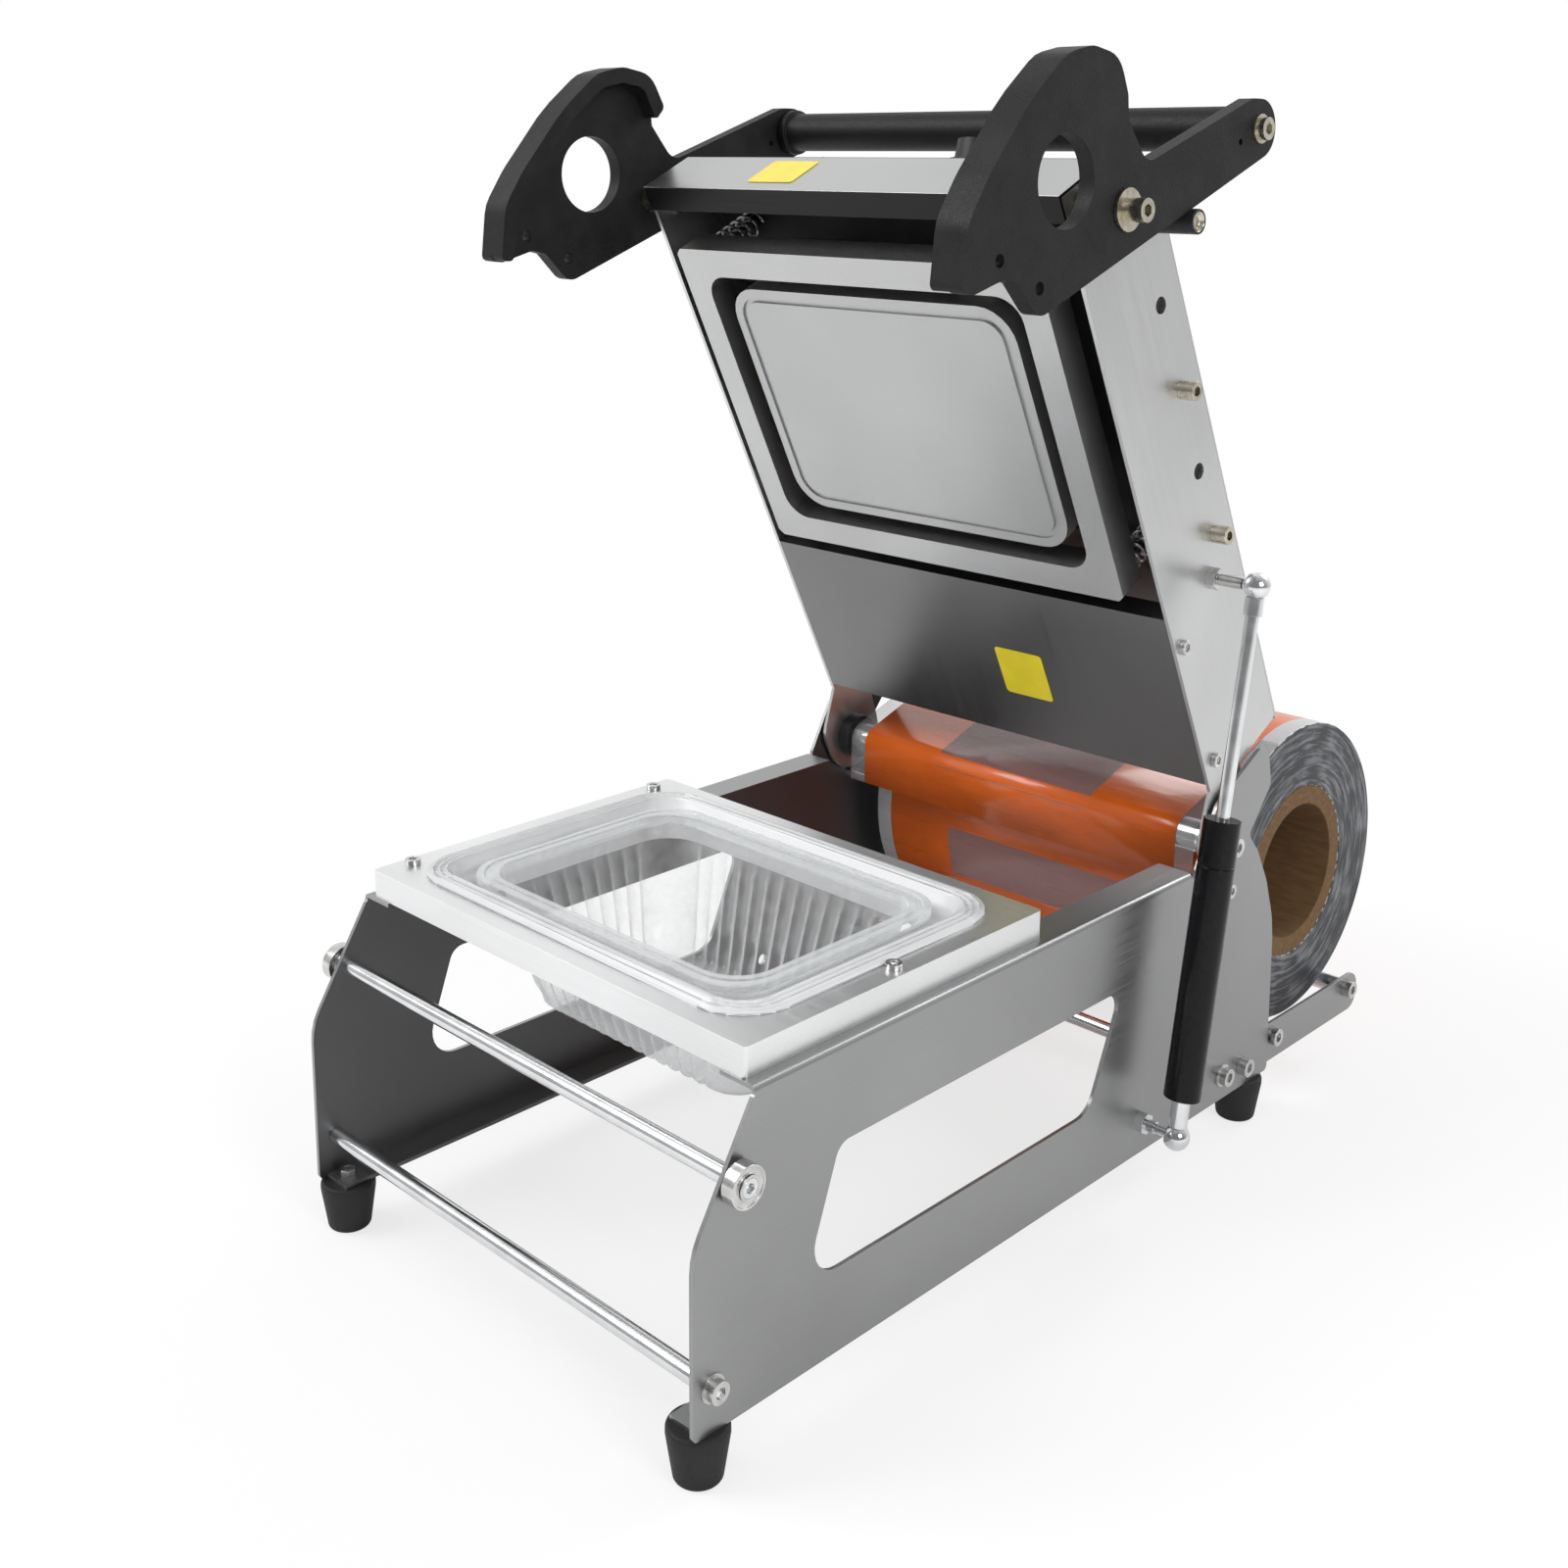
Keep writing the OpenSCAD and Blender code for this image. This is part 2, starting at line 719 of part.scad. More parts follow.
// Screws of the rods and the hinge shaft, with the spacers and clips of the cam bearings
module base_screws() {
    color([0.8, 0.8, 0.8]) machine() both_sides() {
        for (p = [[lower_rod_y, lower_rod_z], [tie_rod_y, tie_rod_z], [hinge_y, hinge_z]]) {
            along_x(base_w / 2, p[0], p[1]) washer(m5_washer_d, washer_t, m5_d + 2 * hole_air);
            along_x(base_w / 2 + washer_t, p[0], p[1])
                cap_screw(m5_head_d, m5_head_h - washer_t, m5_d, m5_grip);
        }
        along_x(base_w / 2, hinge_y, guide_z) cap_screw(small_head_d, small_head_h, small_d, small_grip);
        along_x(base_w / 2, upper_rod_y, upper_rod_z) washer(spacer_d, spacer_t - air, rod_d + 2 * fit);
        along_x(bearing_x + bearing_w + air, upper_rod_y, upper_rod_z)
            washer(clip_d, clip_t, rod_d + 2 * fit);
    }
}

module rubber_foot() {
    rotate_extrude() polygon(outline([
        [small_d / 2 + hole_air, 0, 0], [foot_d / 2 - foot_edge, 0, 0], [foot_d / 2, -foot_edge, 0],
        [foot_d / 2, -foot_collar_h, 0], [foot_base_d / 2, -foot_h, 2 * foot_edge],
        [small_head_d / 2 + foot_edge, -foot_h, 0], [small_head_d / 2 + foot_edge, -foot_h / 2, 0],
        [small_d / 2 + hole_air, -foot_h / 2, 0]]));
}

module at_feet() {
    for (y = [foot_y, foot_y + foot_pitch])
        both_sides() translate([foot_x, y, 0]) children();
}

module rubber_feet() {
    color([0.1, 0.1, 0.1]) machine() at_feet() rubber_foot();
}

// Screws up through the feet, with nuts on the bottom flanges
module foot_screws() {
    color([0.8, 0.8, 0.8]) machine() at_feet() {
        translate([0, 0, -foot_h / 2]) mirror([0, 0, 1])
            cap_screw(small_head_d, 2 * small_head_h, small_d, foot_h / 2 + sheet_t + small_nut_h);
        translate([0, 0, sheet_t]) rotate([0, 0, 30]) nut(small_nut_d, small_nut_h, small_d + 2 * fit);
    }
}

// Mould plate with the pocket for the seat ring and the opening for the tray
module mould_plate() {
    color([0.8, 0.81, 0.82]) machine() difference() {
        translate([0, mould_y, mould_z]) linear_extrude(mould_t) rounded_rect(mould_w, mould_l, mould_r);
        translate([0, mould_y, mould_top - pocket_depth]) linear_extrude(pocket_depth + over)
            rounded_rect(pocket_w, pocket_l, pocket_r);
        translate([0, mould_y, mould_z - over]) linear_extrude(mould_t)
            rounded_rect(opening_w, opening_l, opening_r);
        at_mould_screws() translate([0, 0, -mould_t - over])
            cylinder(d = small_d + 2 * hole_air, h = mould_t + 2 * over);
    }
}

module at_mould_screws() {
    for (p = [[mould_screw_x, mould_y], [-mould_screw_x, mould_y - mould_screw_front],
              [-mould_screw_x, mould_y + mould_screw_rear]])
        translate([p[0], p[1], mould_top]) children();
}

module mould_screws() {
    depth = mould_t + sheet_t + small_nut_h;
    color([0.8, 0.8, 0.8]) machine() at_mould_screws() {
        cap_screw(small_head_d, small_head_h, small_d, depth);
        translate([0, 0, -depth]) nut(small_nut_d, small_nut_h, small_d + 2 * fit);
    }
}

// Seat ring: a ridged band on the plate, a skirt down the pocket and a ledge for the tray
module seat_ring() {
    inner_w = pocket_w - 2 * hole_air - 2 * ring_wall;
    inner_l = pocket_l - 2 * hole_air - 2 * ring_wall;
    color([0.93, 0.94, 0.95]) machine() translate([0, mould_y, 0]) difference() {
        union() {
            translate([0, 0, mould_top]) linear_extrude(ring_t) rounded_rect(ring_w, ring_l, ring_r);
            for (i = [0:ridge_count - 1]) translate([0, 0, mould_top]) difference() {
                linear_extrude(ring_t + ridge_w) rounded_rect(
                    ring_w - 2 * ridge_inset - 2 * i * ridge_pitch,
                    ring_l - 2 * ridge_inset - 2 * i * ridge_pitch, ring_r - ridge_inset - i * ridge_pitch);
                translate([0, 0, -over]) linear_extrude(ring_t + 2 * over) rounded_rect(
                    ring_w - 2 * ridge_inset - 2 * i * ridge_pitch - 2 * ridge_w,
                    ring_l - 2 * ridge_inset - 2 * i * ridge_pitch - 2 * ridge_w,
                    ring_r - ridge_inset - i * ridge_pitch - ridge_w);
            }
            translate([0, 0, mould_top - pocket_depth]) linear_extrude(pocket_depth + ring_t / 2)
                rounded_rect(pocket_w - 2 * hole_air, pocket_l - 2 * hole_air, pocket_r - hole_air);
        }
        translate([0, 0, ledge_top]) linear_extrude(pocket_depth + ring_t + ridge_w)
            rounded_rect(inner_w, inner_l, pocket_r - hole_air - ring_wall);
        translate([0, 0, mould_top - pocket_depth - over]) linear_extrude(pocket_depth)
            rounded_rect(opening_w, opening_l, opening_r);
    }
}

// Tapered solid between two rounded rectangles
module taper(w0, l0, r0, w1, l1, r1, h) {
    hull() {
        linear_extrude(fit) rounded_rect(w0, l0, r0);
        translate([0, 0, h - fit]) linear_extrude(fit) rounded_rect(w1, l1, r1);
    }
}

// Clear tray: a rim with a turned-down edge, and a tapered bowl
module tray() {
    color([0.88, 0.92, 0.94]) machine() translate([0, mould_y, 0]) difference() {
        union() {
            translate([0, 0, ledge_top]) linear_extrude(rim_top - ledge_top)
                rounded_rect(tray_w, tray_l, tray_r);
            translate([0, 0, tray_floor]) taper(mouth_w - 2 * tray_lean, mouth_l - 2 * tray_lean,
                tray_floor_r, mouth_w + 2 * tray_t, mouth_l + 2 * tray_t, mouth_r, tray_depth);
        }
        translate([0, 0, ledge_top - over]) linear_extrude(rim_top - ledge_top - tray_t + over)
            difference() {
                rounded_rect(tray_w - 2 * tray_t, tray_l - 2 * tray_t, tray_r - tray_t);
                rounded_rect(mouth_w + tray_t, mouth_l + tray_t, mouth_r);
            }
        translate([0, 0, tray_floor + tray_t]) taper(mouth_w - 2 * tray_lean - 2 * tray_t,
            mouth_l - 2 * tray_lean - 2 * tray_t, tray_floor_r - tray_t, mouth_w, mouth_l,
            mouth_r - tray_t, tray_depth);
    }
}

// Hinge
module hinge_shaft() {
    color([0.8, 0.81, 0.82]) machine() tie_rod(hinge_y, hinge_z, shaft_d, m5_d + 2 * fit);
}

module hinge_bushes() {
    color([0.12, 0.12, 0.12]) machine() both_sides() difference() {
        union() {
            along_x(bush_x, hinge_y, hinge_z) cylinder(d = bush_flange_d, h = lid_inner_x - bush_x);
            along_x(bush_x, hinge_y, hinge_z)
                cylinder(d = bush_spigot_d, h = inner_x - bush_end_gap - bush_x);
        }
        along_x(bush_x - over, hinge_y, hinge_z)
            cylinder(d = shaft_d + 2 * fit, h = inner_x - bush_x + 2 * over);
    }
}

// Film path
module film_roller() {
    color([0.86, 0.87, 0.88]) machine() difference() {
        along_x(-roller_l / 2, hinge_y, hinge_z) cylinder(d = roller_d, h = roller_l);
        along_x(-roller_l / 2 - over, hinge_y, hinge_z) cylinder(d = roller_bore, h = roller_l + 2 * over);
    }
}

module roller_bushes() {
    color([0.15, 0.15, 0.15]) machine() both_sides() difference() {
        along_x(roller_l / 2 - roller_bush_l, hinge_y, hinge_z) cylinder(d = roller_bore, h = roller_bush_l);
        along_x(roller_l / 2 - roller_bush_l - over, hinge_y, hinge_z)
            cylinder(d = shaft_d + 2 * fit, h = roller_bush_l + 2 * over);
    }
}

module film_ring(outer_d, bore) {
    machine() difference() {
        along_x(roll_shift_x - film_w / 2, roll_y, roll_z) cylinder(d = outer_d, h = film_w, $fn = 96);
        along_x(roll_shift_x - film_w / 2 - over, roll_y, roll_z)
            cylinder(d = bore, h = film_w + 2 * over, $fn = 96);
    }
}

module film_core() {
    color([0.6, 0.45, 0.3]) film_ring(core_d, core_bore);
}

module film_winding() {
    color([0.85, 0.4, 0.12]) film_ring(roll_d, core_d);
}

// Film from the top of the roll over the roller, then down in front of it
function web_points(grow) =
    let (out = [cos(web_angle), sin(web_angle)])
    let (swing = 180 - web_angle)
    let (steps = ceil(swing / arc_step))
    concat([[roll_y, roll_z] + (web_r1 + grow) * out],
           [for (i = [0:steps]) [hinge_y, hinge_z] + (web_r0 + grow)
                * [cos(web_angle + swing * i / steps), sin(web_angle + swing * i / steps)]],
           [[hinge_y - web_r0 - grow, hinge_z - web_hang]]);

module film_web() {
    color([0.88, 0.42, 0.12]) machine() slab(roll_shift_x - film_w / 2, film_w)
        polygon(concat(web_points(web_t), reversed(web_points(0))));
}

// Film cradle behind the machine
module cradle_plates() {
    color([0.72, 0.73, 0.74]) machine() both_sides() difference() {
        slab(inner_x - sheet_t, sheet_t) polygon(outline([
            [cradle_y0, sheet_t + air, plate_edge_r], [cradle_y1, sheet_t + air, cradle_end_r],
            [cradle_y1 - over, sheet_t + air + cradle_h, cradle_end_r],
            [cradle_y0, sheet_t + air + cradle_h, plate_edge_r]]));
        for (y = [roll_y - cradle_half, roll_y + cradle_half])
            along_x(inner_x - sheet_t - over, y, cradle_z)
                cylinder(d = m5_d + 2 * hole_air, h = sheet_t + 2 * over);
        along_x(inner_x - sheet_t - over, cradle_fix_y, cradle_fix_z)
            cylinder(d = m5_d + 2 * hole_air, h = sheet_t + 2 * over);
    }
}

module cradle_rods() {
    half = inner_x - sheet_t;
    color([0.85, 0.86, 0.87]) machine() for (y = [roll_y - cradle_half, roll_y + cradle_half])
        difference() {
            along_x(-half, y, cradle_z) cylinder(d = cradle_rod_d, h = 2 * half);
            both_sides() along_x(half - m5_grip, y, cradle_z)
                cylinder(d = m5_d + 2 * fit, h = m5_grip + over);
        }
}

module cradle_screws() {
    color([0.8, 0.8, 0.8]) machine() both_sides() {
        for (y = [roll_y - cradle_half, roll_y + cradle_half])
            along_x(inner_x, y, cradle_z) cap_screw(m5_head_d, m5_head_h, m5_d, m5_grip);
        along_x(base_w / 2, cradle_fix_y, cradle_fix_z) cap_screw(m5_head_d, m5_head_h, m5_d, 2 * m5_head_h);
        along_x(inner_x - sheet_t - m5_head_h, cradle_fix_y, cradle_fix_z)
            nut(m5_head_d, m5_head_h, m5_d + 2 * fit);
    }
}

// Gas strut: a stud and ball on the base plate
module ball_stud(x0, x1) {
    translate([x0, 0, 0]) rotate([0, 90, 0]) cylinder(d = neck_d, h = x1 - x0);
    translate([x1, 0, 0]) sphere(d = ball_d);
}

module strut_base_stud() {
    color([0.8, 0.8, 0.8]) machine() translate([0, strut_y, strut_z]) {
        along_x(base_w / 2, 0, 0) cylinder(d = stud_nut_d, h = stud_nut_h, $fn = 6);
        along_x(inner_x - 2 * stud_nut_h, 0, 0)
            cylinder(d = stud_d, h = sheet_t + 4 * stud_nut_h);
        ball_stud(base_w / 2 + 2 * stud_nut_h, strut_x);
    }
    color([0.8, 0.8, 0.8]) machine() along_x(inner_x - stud_nut_h, strut_y, strut_z)
        nut(stud_nut_d, stud_nut_h, stud_d + 2 * fit);
}

// Cam bearings on the ends of the upper front rod
module cam_bearing() {
    color([0.75, 0.75, 0.76]) machine() along_x(bearing_x, upper_rod_y, upper_rod_z) difference() {
        cylinder(d = bearing_d, h = bearing_w);
        translate([0, 0, -over]) cylinder(d = rod_d + 2 * fit, h = bearing_w + 2 * over);
        for (z = [-over, bearing_w - bearing_groove]) translate([0, 0, z])
            washer(bearing_d - spacer_t, bearing_groove + over, bearing_inner_d);
    }
}

module right_cam_bearing() {
    cam_bearing();
}

module left_cam_bearing() {
    mirror([1, 0, 0]) cam_bearing();
}

// Lid plates, seen from the side with the lid shut
module lid_outline() {
    polygon(outline([
        [-lid_l + cover_t, -lid_drop, 0], [-lid_l + cover_t, front_h, 0],
        [-lid_l + cover_t + panel_run, lid_h - cover_t, 0], [-lid_rear, lid_h - cover_t, plate_edge_r],
        [-lid_rear + neck_step / 2, neck_top, 0], [lobe_r, lobe_r, lobe_share * lobe_r],
        [lobe_r, -lobe_r, lobe_share * lobe_r], [-neck_share * lobe_r, -lobe_r, neck_share * lobe_r],
        [-lid_rear - neck_step, -lid_drop, 0]]));
}

module lid_plate() {
    hole_t = sheet_t + 2 * over;
    color([0.72, 0.73, 0.74]) on_lid() difference() {
        slab(lid_inner_x, sheet_t) lid_outline();
        along_x(lid_inner_x - over, 0, 0) cylinder(d = bush_spigot_d + 2 * fit, h = hole_t);
        for (s = hole_s) along_x(lid_inner_x - over, -s, hole_n) cylinder(d = hole_d, h = hole_t);
        for (s = bolt_s) along_x(lid_inner_x - over, -s, bolt_n)
            cylinder(d = m5_d + 2 * hole_air, h = hole_t);
        for (p = button_places) along_x(lid_inner_x - over, -p[0], p[1])
            cylinder(d = small_d + 2 * hole_air, h = hole_t);
        along_x(lid_inner_x - over, -pivot_s, pivot_n)
            cylinder(d = shoulder_d + 2 * fit, h = hole_t);
        along_x(lid_inner_x - over, -strut_s, strut_n) cylinder(d = stud_d + 2 * hole_air, h = hole_t);
        translate([0, -pivot_s, pivot_n]) rotate([lid_open, 0, 0])
            along_x(lid_inner_x - over, stop_at[0], stop_at[1])
                cylinder(d = stop_core_d + 2 * fit, h = hole_t);
    }
}

module right_lid_plate() {
    lid_plate();
}

module left_lid_plate() {
    mirror([1, 0, 0]) lid_plate();
}

// Top and rear cover of the lid, with lips down along the plates
module lid_cover() {
    w = plate_x;
    inside = lid_inner_x - cover_fit;
    color([0.75, 0.76, 0.77]) on_lid() difference() {
        union() {
            slab(-w, 2 * w) polygon([
                [-lid_l + cover_t + panel_run, lid_h - cover_t], [-lid_l + cover_t + panel_run, lid_h],
                [-lid_rear + cover_t, lid_h], [-lid_rear + cover_t, lid_h - cover_t]]);
            slab(-inside, 2 * inside) polygon([
                [-lid_rear, lid_h], [-lid_rear + cover_t, lid_h], [-lid_rear + cover_t, neck_top],
                [-lid_rear, neck_top]]);
            both_sides() slab(inside - cover_t, cover_t) polygon([
                [-lid_l + panel_run + cover_lip, lid_h], [-lid_rear, lid_h],
                [-lid_rear, lid_h - top_lip], [-lid_l + panel_run + cover_lip, lid_h - top_lip]]);
        }
        translate([gland_x, -lid_rear - over, gland_n]) rotate([-90, 0, 0])
            cylinder(d = gland_d - 2 * cover_t + 2 * fit, h = cover_t + 2 * over);
    }
}

// Front cover, with a lip turned back under the lid
module front_cover() {
    w = plate_x;
    color([0.86, 0.87, 0.88]) on_lid() {
        slab(-w, 2 * w) polygon([
            [-lid_l, -lid_drop - cover_t], [-lid_l, front_h], [-lid_l + cover_t, front_h],
            [-lid_l + cover_t, -lid_drop], [-lid_l + front_lip, -lid_drop],
            [-lid_l + front_lip, -lid_drop - cover_t]]);
    }
}

// Cover under the rear of the lid, with lips up along the plates
module under_cover() {
    inside = lid_inner_x - cover_fit;
    color([0.68, 0.69, 0.7]) on_lid() difference() {
        union() {
            translate([-inside, -under_s1, -lid_drop]) cube([2 * inside, under_s1 - under_s0, cover_t]);
            both_sides() translate([inside - cover_t, -under_s1, -lid_drop])
                cube([cover_t, under_s1 - under_s0, cover_lip]);
            translate([-inside, -under_s1, -lid_drop]) cube([2 * inside, cover_t, cover_lip]);
        }
        both_sides() for (p = button_places) along_x(inside - cover_t - over, -p[0], p[1])
            cylinder(d = small_d + 2 * hole_air, h = cover_t + 2 * over);
    }
}

// Sloped panel: children are drawn flat, from the middle of its lower edge
module on_panel() {
    on_lid() translate([0, -lid_l + cover_t, front_h]) rotate([panel_tilt, 0, 0]) children();
}

module control_panel() {
    color([0.13, 0.13, 0.14]) on_panel() difference() {
        translate([-plate_x, 0, 0]) cube([2 * plate_x, panel_l, cover_t]);
        translate([knob_x, panel_l / 2, -over])
            cylinder(d = knob_shaft_d + 2 * hole_air, h = cover_t + 2 * over);
        translate([-switch_x - switch_w / 2 - hole_air, panel_l / 2 - switch_h / 2 - hole_air, -over])
            cube([switch_w + 2 * hole_air, switch_h + 2 * hole_air, cover_t + 2 * over]);
    }
}

module temperature_knob() {
    color([0.1, 0.1, 0.1]) on_panel() translate([knob_x, panel_l / 2, cover_t + air]) difference() {
        union() {
            cylinder(d = knob_skirt_d, h = knob_skirt_h);
            cylinder(d = knob_d, h = knob_h);
            translate([0, 0, -air - cover_t - 2 * knob_skirt_h])
                cylinder(d = knob_shaft_d, h = knob_h);
        }
        translate([-pointer_w / 2, knob_d / 4, knob_h - pointer_w])
            cube([pointer_w, knob_d, pointer_w + over]);
    }
}

// Switch housing through the panel
module rocker_switch() {
    color([0.08, 0.08, 0.08]) on_panel() translate([-switch_x, panel_l / 2, 0]) difference() {
        union() {
            translate([-switch_w / 2, -switch_h / 2, -switch_depth + cover_t])
                cube([switch_w, switch_h, switch_depth]);
            translate([-switch_w / 2 - switch_bezel, -switch_h / 2 - switch_bezel, cover_t])
                cube([switch_w + 2 * switch_bezel, switch_h + 2 * switch_bezel, switch_bezel]);
        }
        translate([-button_w / 2 - air, -button_h / 2 - air, -switch_bezel])
            cube([button_w + 2 * air, button_h + 2 * air, switch_depth]);
    }
}

// Rocker, tilted to one side about the pivot in the housing
module rocker_button() {
    color([0.7, 0.1, 0.08]) on_panel() translate([-switch_x, panel_l / 2, cover_t])
        rotate([0, button_rock, 0]) translate([-button_w / 2 + air, -button_h / 2, 0])
            cube([button_w - 2 * air, button_h, 2 * switch_bezel]);
}

// Thermostat behind the panel, on the knob's shaft
module thermostat() {
    color([0.85, 0.85, 0.83]) on_panel() translate([knob_x, panel_l / 2, 0]) difference() {
        translate([-thermostat_w / 2, -thermostat_h / 2, -thermostat_depth])
            cube([thermostat_w, thermostat_h, thermostat_depth]);
        translate([0, 0, -thermostat_depth / 2])
            cylinder(d = knob_shaft_d + 2 * fit, h = thermostat_depth);
    }
}

// Gland where the power cord comes out of the rear cover
module cord_gland() {
    spigot = gland_d - 2 * cover_t;
    color([0.12, 0.12, 0.12]) on_lid() translate([gland_x, -lid_rear, gland_n]) rotate([-90, 0, 0])
        difference() {
            union() {
                translate([0, 0, cover_t]) cylinder(d = gland_d, h = gland_l);
                translate([0, 0, -gland_l / 2]) cylinder(d = spigot, h = gland_l);
                translate([0, 0, -gland_l / 2]) cylinder(d = gland_nut_d, h = gland_l / 2, $fn = 6);
            }
            translate([0, 0, -gland_l]) cylinder(d = gland_bore, h = 3 * gland_l);
        }
}

// Bolts that hold the carrier plate between the lid plates, with their nuts inside
module lid_bolts() {
    color([0.78, 0.72, 0.6]) on_lid() both_sides() for (s = bolt_s) {
        along_x(plate_x, -s, bolt_n) cap_screw(bolt_head_d, bolt_head_l, m5_d, 2 * m5_head_h);
        along_x(lid_inner_x - cover_t - m5_head_h, -s, bolt_n) nut(m5_head_d, m5_head_h, m5_d + 2 * fit);
    }
}

// Small screws that hold the cover under the lid
module cover_screws() {
    color([0.8, 0.8, 0.8]) on_lid() both_sides() for (p = button_places)
        along_x(plate_x, -p[0], p[1]) cap_screw(small_head_d, small_head_h, small_d, small_grip);
}

// Stop pins that the open lever rests on
module stop_pins() {
    color([0.2, 0.2, 0.2]) on_pivot() both_sides() {
        along_x(plate_x, stop_at[0], stop_at[1])
            cylinder(r = stop_r, h = stop_head_x - plate_x);
        along_x(lid_inner_x, stop_at[0], stop_at[1])
            cylinder(d = stop_core_d, h = 2 * sheet_t);
    }
}

// Stud on the lid for the upper end of the strut
module strut_lid_stud() {
    color([0.8, 0.8, 0.8]) on_lid() translate([0, -strut_s, strut_n]) {
        along_x(plate_x, 0, 0) cylinder(d = stud_nut_d, h = stud_nut_h, $fn = 6);
        along_x(lid_inner_x - 2 * stud_nut_h, 0, 0)
            cylinder(d = stud_d, h = strut_x - lid_inner_x + 2 * stud_nut_h - socket_r - air);
        along_x(lid_inner_x - stud_nut_h, 0, 0) nut(stud_nut_d, stud_nut_h, stud_d + 2 * fit);
    }
}

// Carrier plate across the lid, which the frame and the head hang from
module carrier_plate() {
    s0 = head_s - frame_l / 2 - carrier_margin;
    s1 = head_s + frame_l / 2 + carrier_margin;
    inside = lid_inner_x;
    color([0.3, 0.3, 0.31]) on_lid() difference() {
        union() {
            translate([-inside, -s1, carrier_n]) cube([2 * inside, s1 - s0, cover_t]);
            both_sides() translate([inside - cover_t, -s1, carrier_n])
                cube([cover_t, s1 - s0, carrier_flange]);
        }
        at_springs() translate([0, 0, carrier_n - over])
            cylinder(d = post_d + 2 * fit, h = cover_t + 2 * over);
        both_sides() translate([head_post_x, -head_s, carrier_n - over])
            cylinder(d = post_d + 2 * fit, h = cover_t + 2 * over);
        both_sides() for (s = bolt_s) along_x(inside - cover_t - over, -s, bolt_n)
            cylinder(d = m5_d + 2 * hole_air, h = cover_t + 2 * over);
    }
}

module at_springs() {
    for (x = [-spring_x, spring_x]) for (y = [-spring_y, spring_y])
        translate([x, y - head_s, 0]) children();
}

// Press frame: a thick ring with chamfered corners and spring pockets in its back
module press_frame() {
    cut = frame_chamfer;
    w = frame_w / 2;
    l = frame_l / 2;
    color([0.8, 0.81, 0.82]) on_lid() difference() {
        translate([0, -head_s, -frame_drop]) linear_extrude(frame_t) difference() {
            polygon(outline([
                [-w + cut, -l, frame_edge_r], [w - cut, -l, frame_edge_r], [w, -l + cut, frame_edge_r],
                [w, l - cut, frame_edge_r], [w - cut, l, frame_edge_r], [-w + cut, l, frame_edge_r],
                [-w, l - cut, frame_edge_r], [-w, -l + cut, frame_edge_r]]));
            rounded_rect(frame_open_w, frame_open_l, frame_open_r);
        }
        at_springs() translate([0, 0, seat_n]) cylinder(d = spring_d + 2 * air, h = spring_pocket + over);
        at_springs() translate([0, 0, seat_n - spring_pocket])
            cylinder(d = post_d + 2 * fit, h = 2 * spring_pocket);
    }
}

// Shoulder screws that guide the frame, with their heads on the carrier plate
module frame_posts() {
    foot = seat_n - spring_pocket + over;
    color([0.75, 0.75, 0.75]) on_lid() at_springs() {
        translate([0, 0, foot]) cylinder(d = post_d, h = carrier_n + cover_t + air - foot + post_head_h);
        translate([0, 0, carrier_n + cover_t + air]) cylinder(d = post_head_d, h = post_head_h);
    }
}

// Frame springs: a coil of round wire whose ends stand square on their seats
coil_steps = 8;
coil_sides = 6;
coil_r = (spring_d - wire_d) / 2;
coil_rise = spring_len - 2 * wire_d;
coil_path = concat([[coil_r, 0, 0]],
    [for (i = [0:spring_turns * coil_steps])
        [coil_r * cos(i * 360 / coil_steps), coil_r * sin(i * 360 / coil_steps),
         wire_d + coil_rise * i / (spring_turns * coil_steps)]],
    [[coil_r, 0, spring_len]]);
coil_last = len(coil_path) - 1;
function coil_tangent(i) = unit(coil_path[min(i + 1, coil_last)] - coil_path[max(i - 1, 0)]);
function coil_ring(i) =
    let (t = coil_tangent(i))
    let (u = unit([coil_path[i][0], coil_path[i][1], 0]))
    let (v = unit(cross(t, u)))
    let (w = cross(v, t))
    [for (k = [0:coil_sides - 1])
        coil_path[i] + wire_d / 2 * (cos(k * 360 / coil_sides) * w + sin(k * 360 / coil_sides) * v)];
coil_points = [for (i = [0:coil_last]) each coil_ring(i)];
coil_walls = [for (i = [0:coil_last - 1]) for (k = [0:coil_sides - 1])
    let (a = i * coil_sides + k)
    let (b = i * coil_sides + (k + 1) % coil_sides)
    each [[a, a + coil_sides, b + coil_sides], [a, b + coil_sides, b]]];
coil_caps = [for (k = [1:coil_sides - 2])
    each [[0, k, k + 1], [coil_last * coil_sides, coil_last * coil_sides + k + 1,
                          coil_last * coil_sides + k]]];
coil_gap = min([for (i = [0:coil_last - coil_steps + 2]) for (j = [i + coil_steps - 2:coil_last])
    norm(coil_path[i] - coil_path[j])]) - wire_d;
echo("least gap between turns of a frame spring", coil_gap);

module frame_springs() {
    color([0.3, 0.3, 0.3]) on_lid() at_springs() translate([0, 0, seat_n + cover_fit])
        polyhedron(points = coil_points, faces = concat(coil_walls, coil_caps));
}

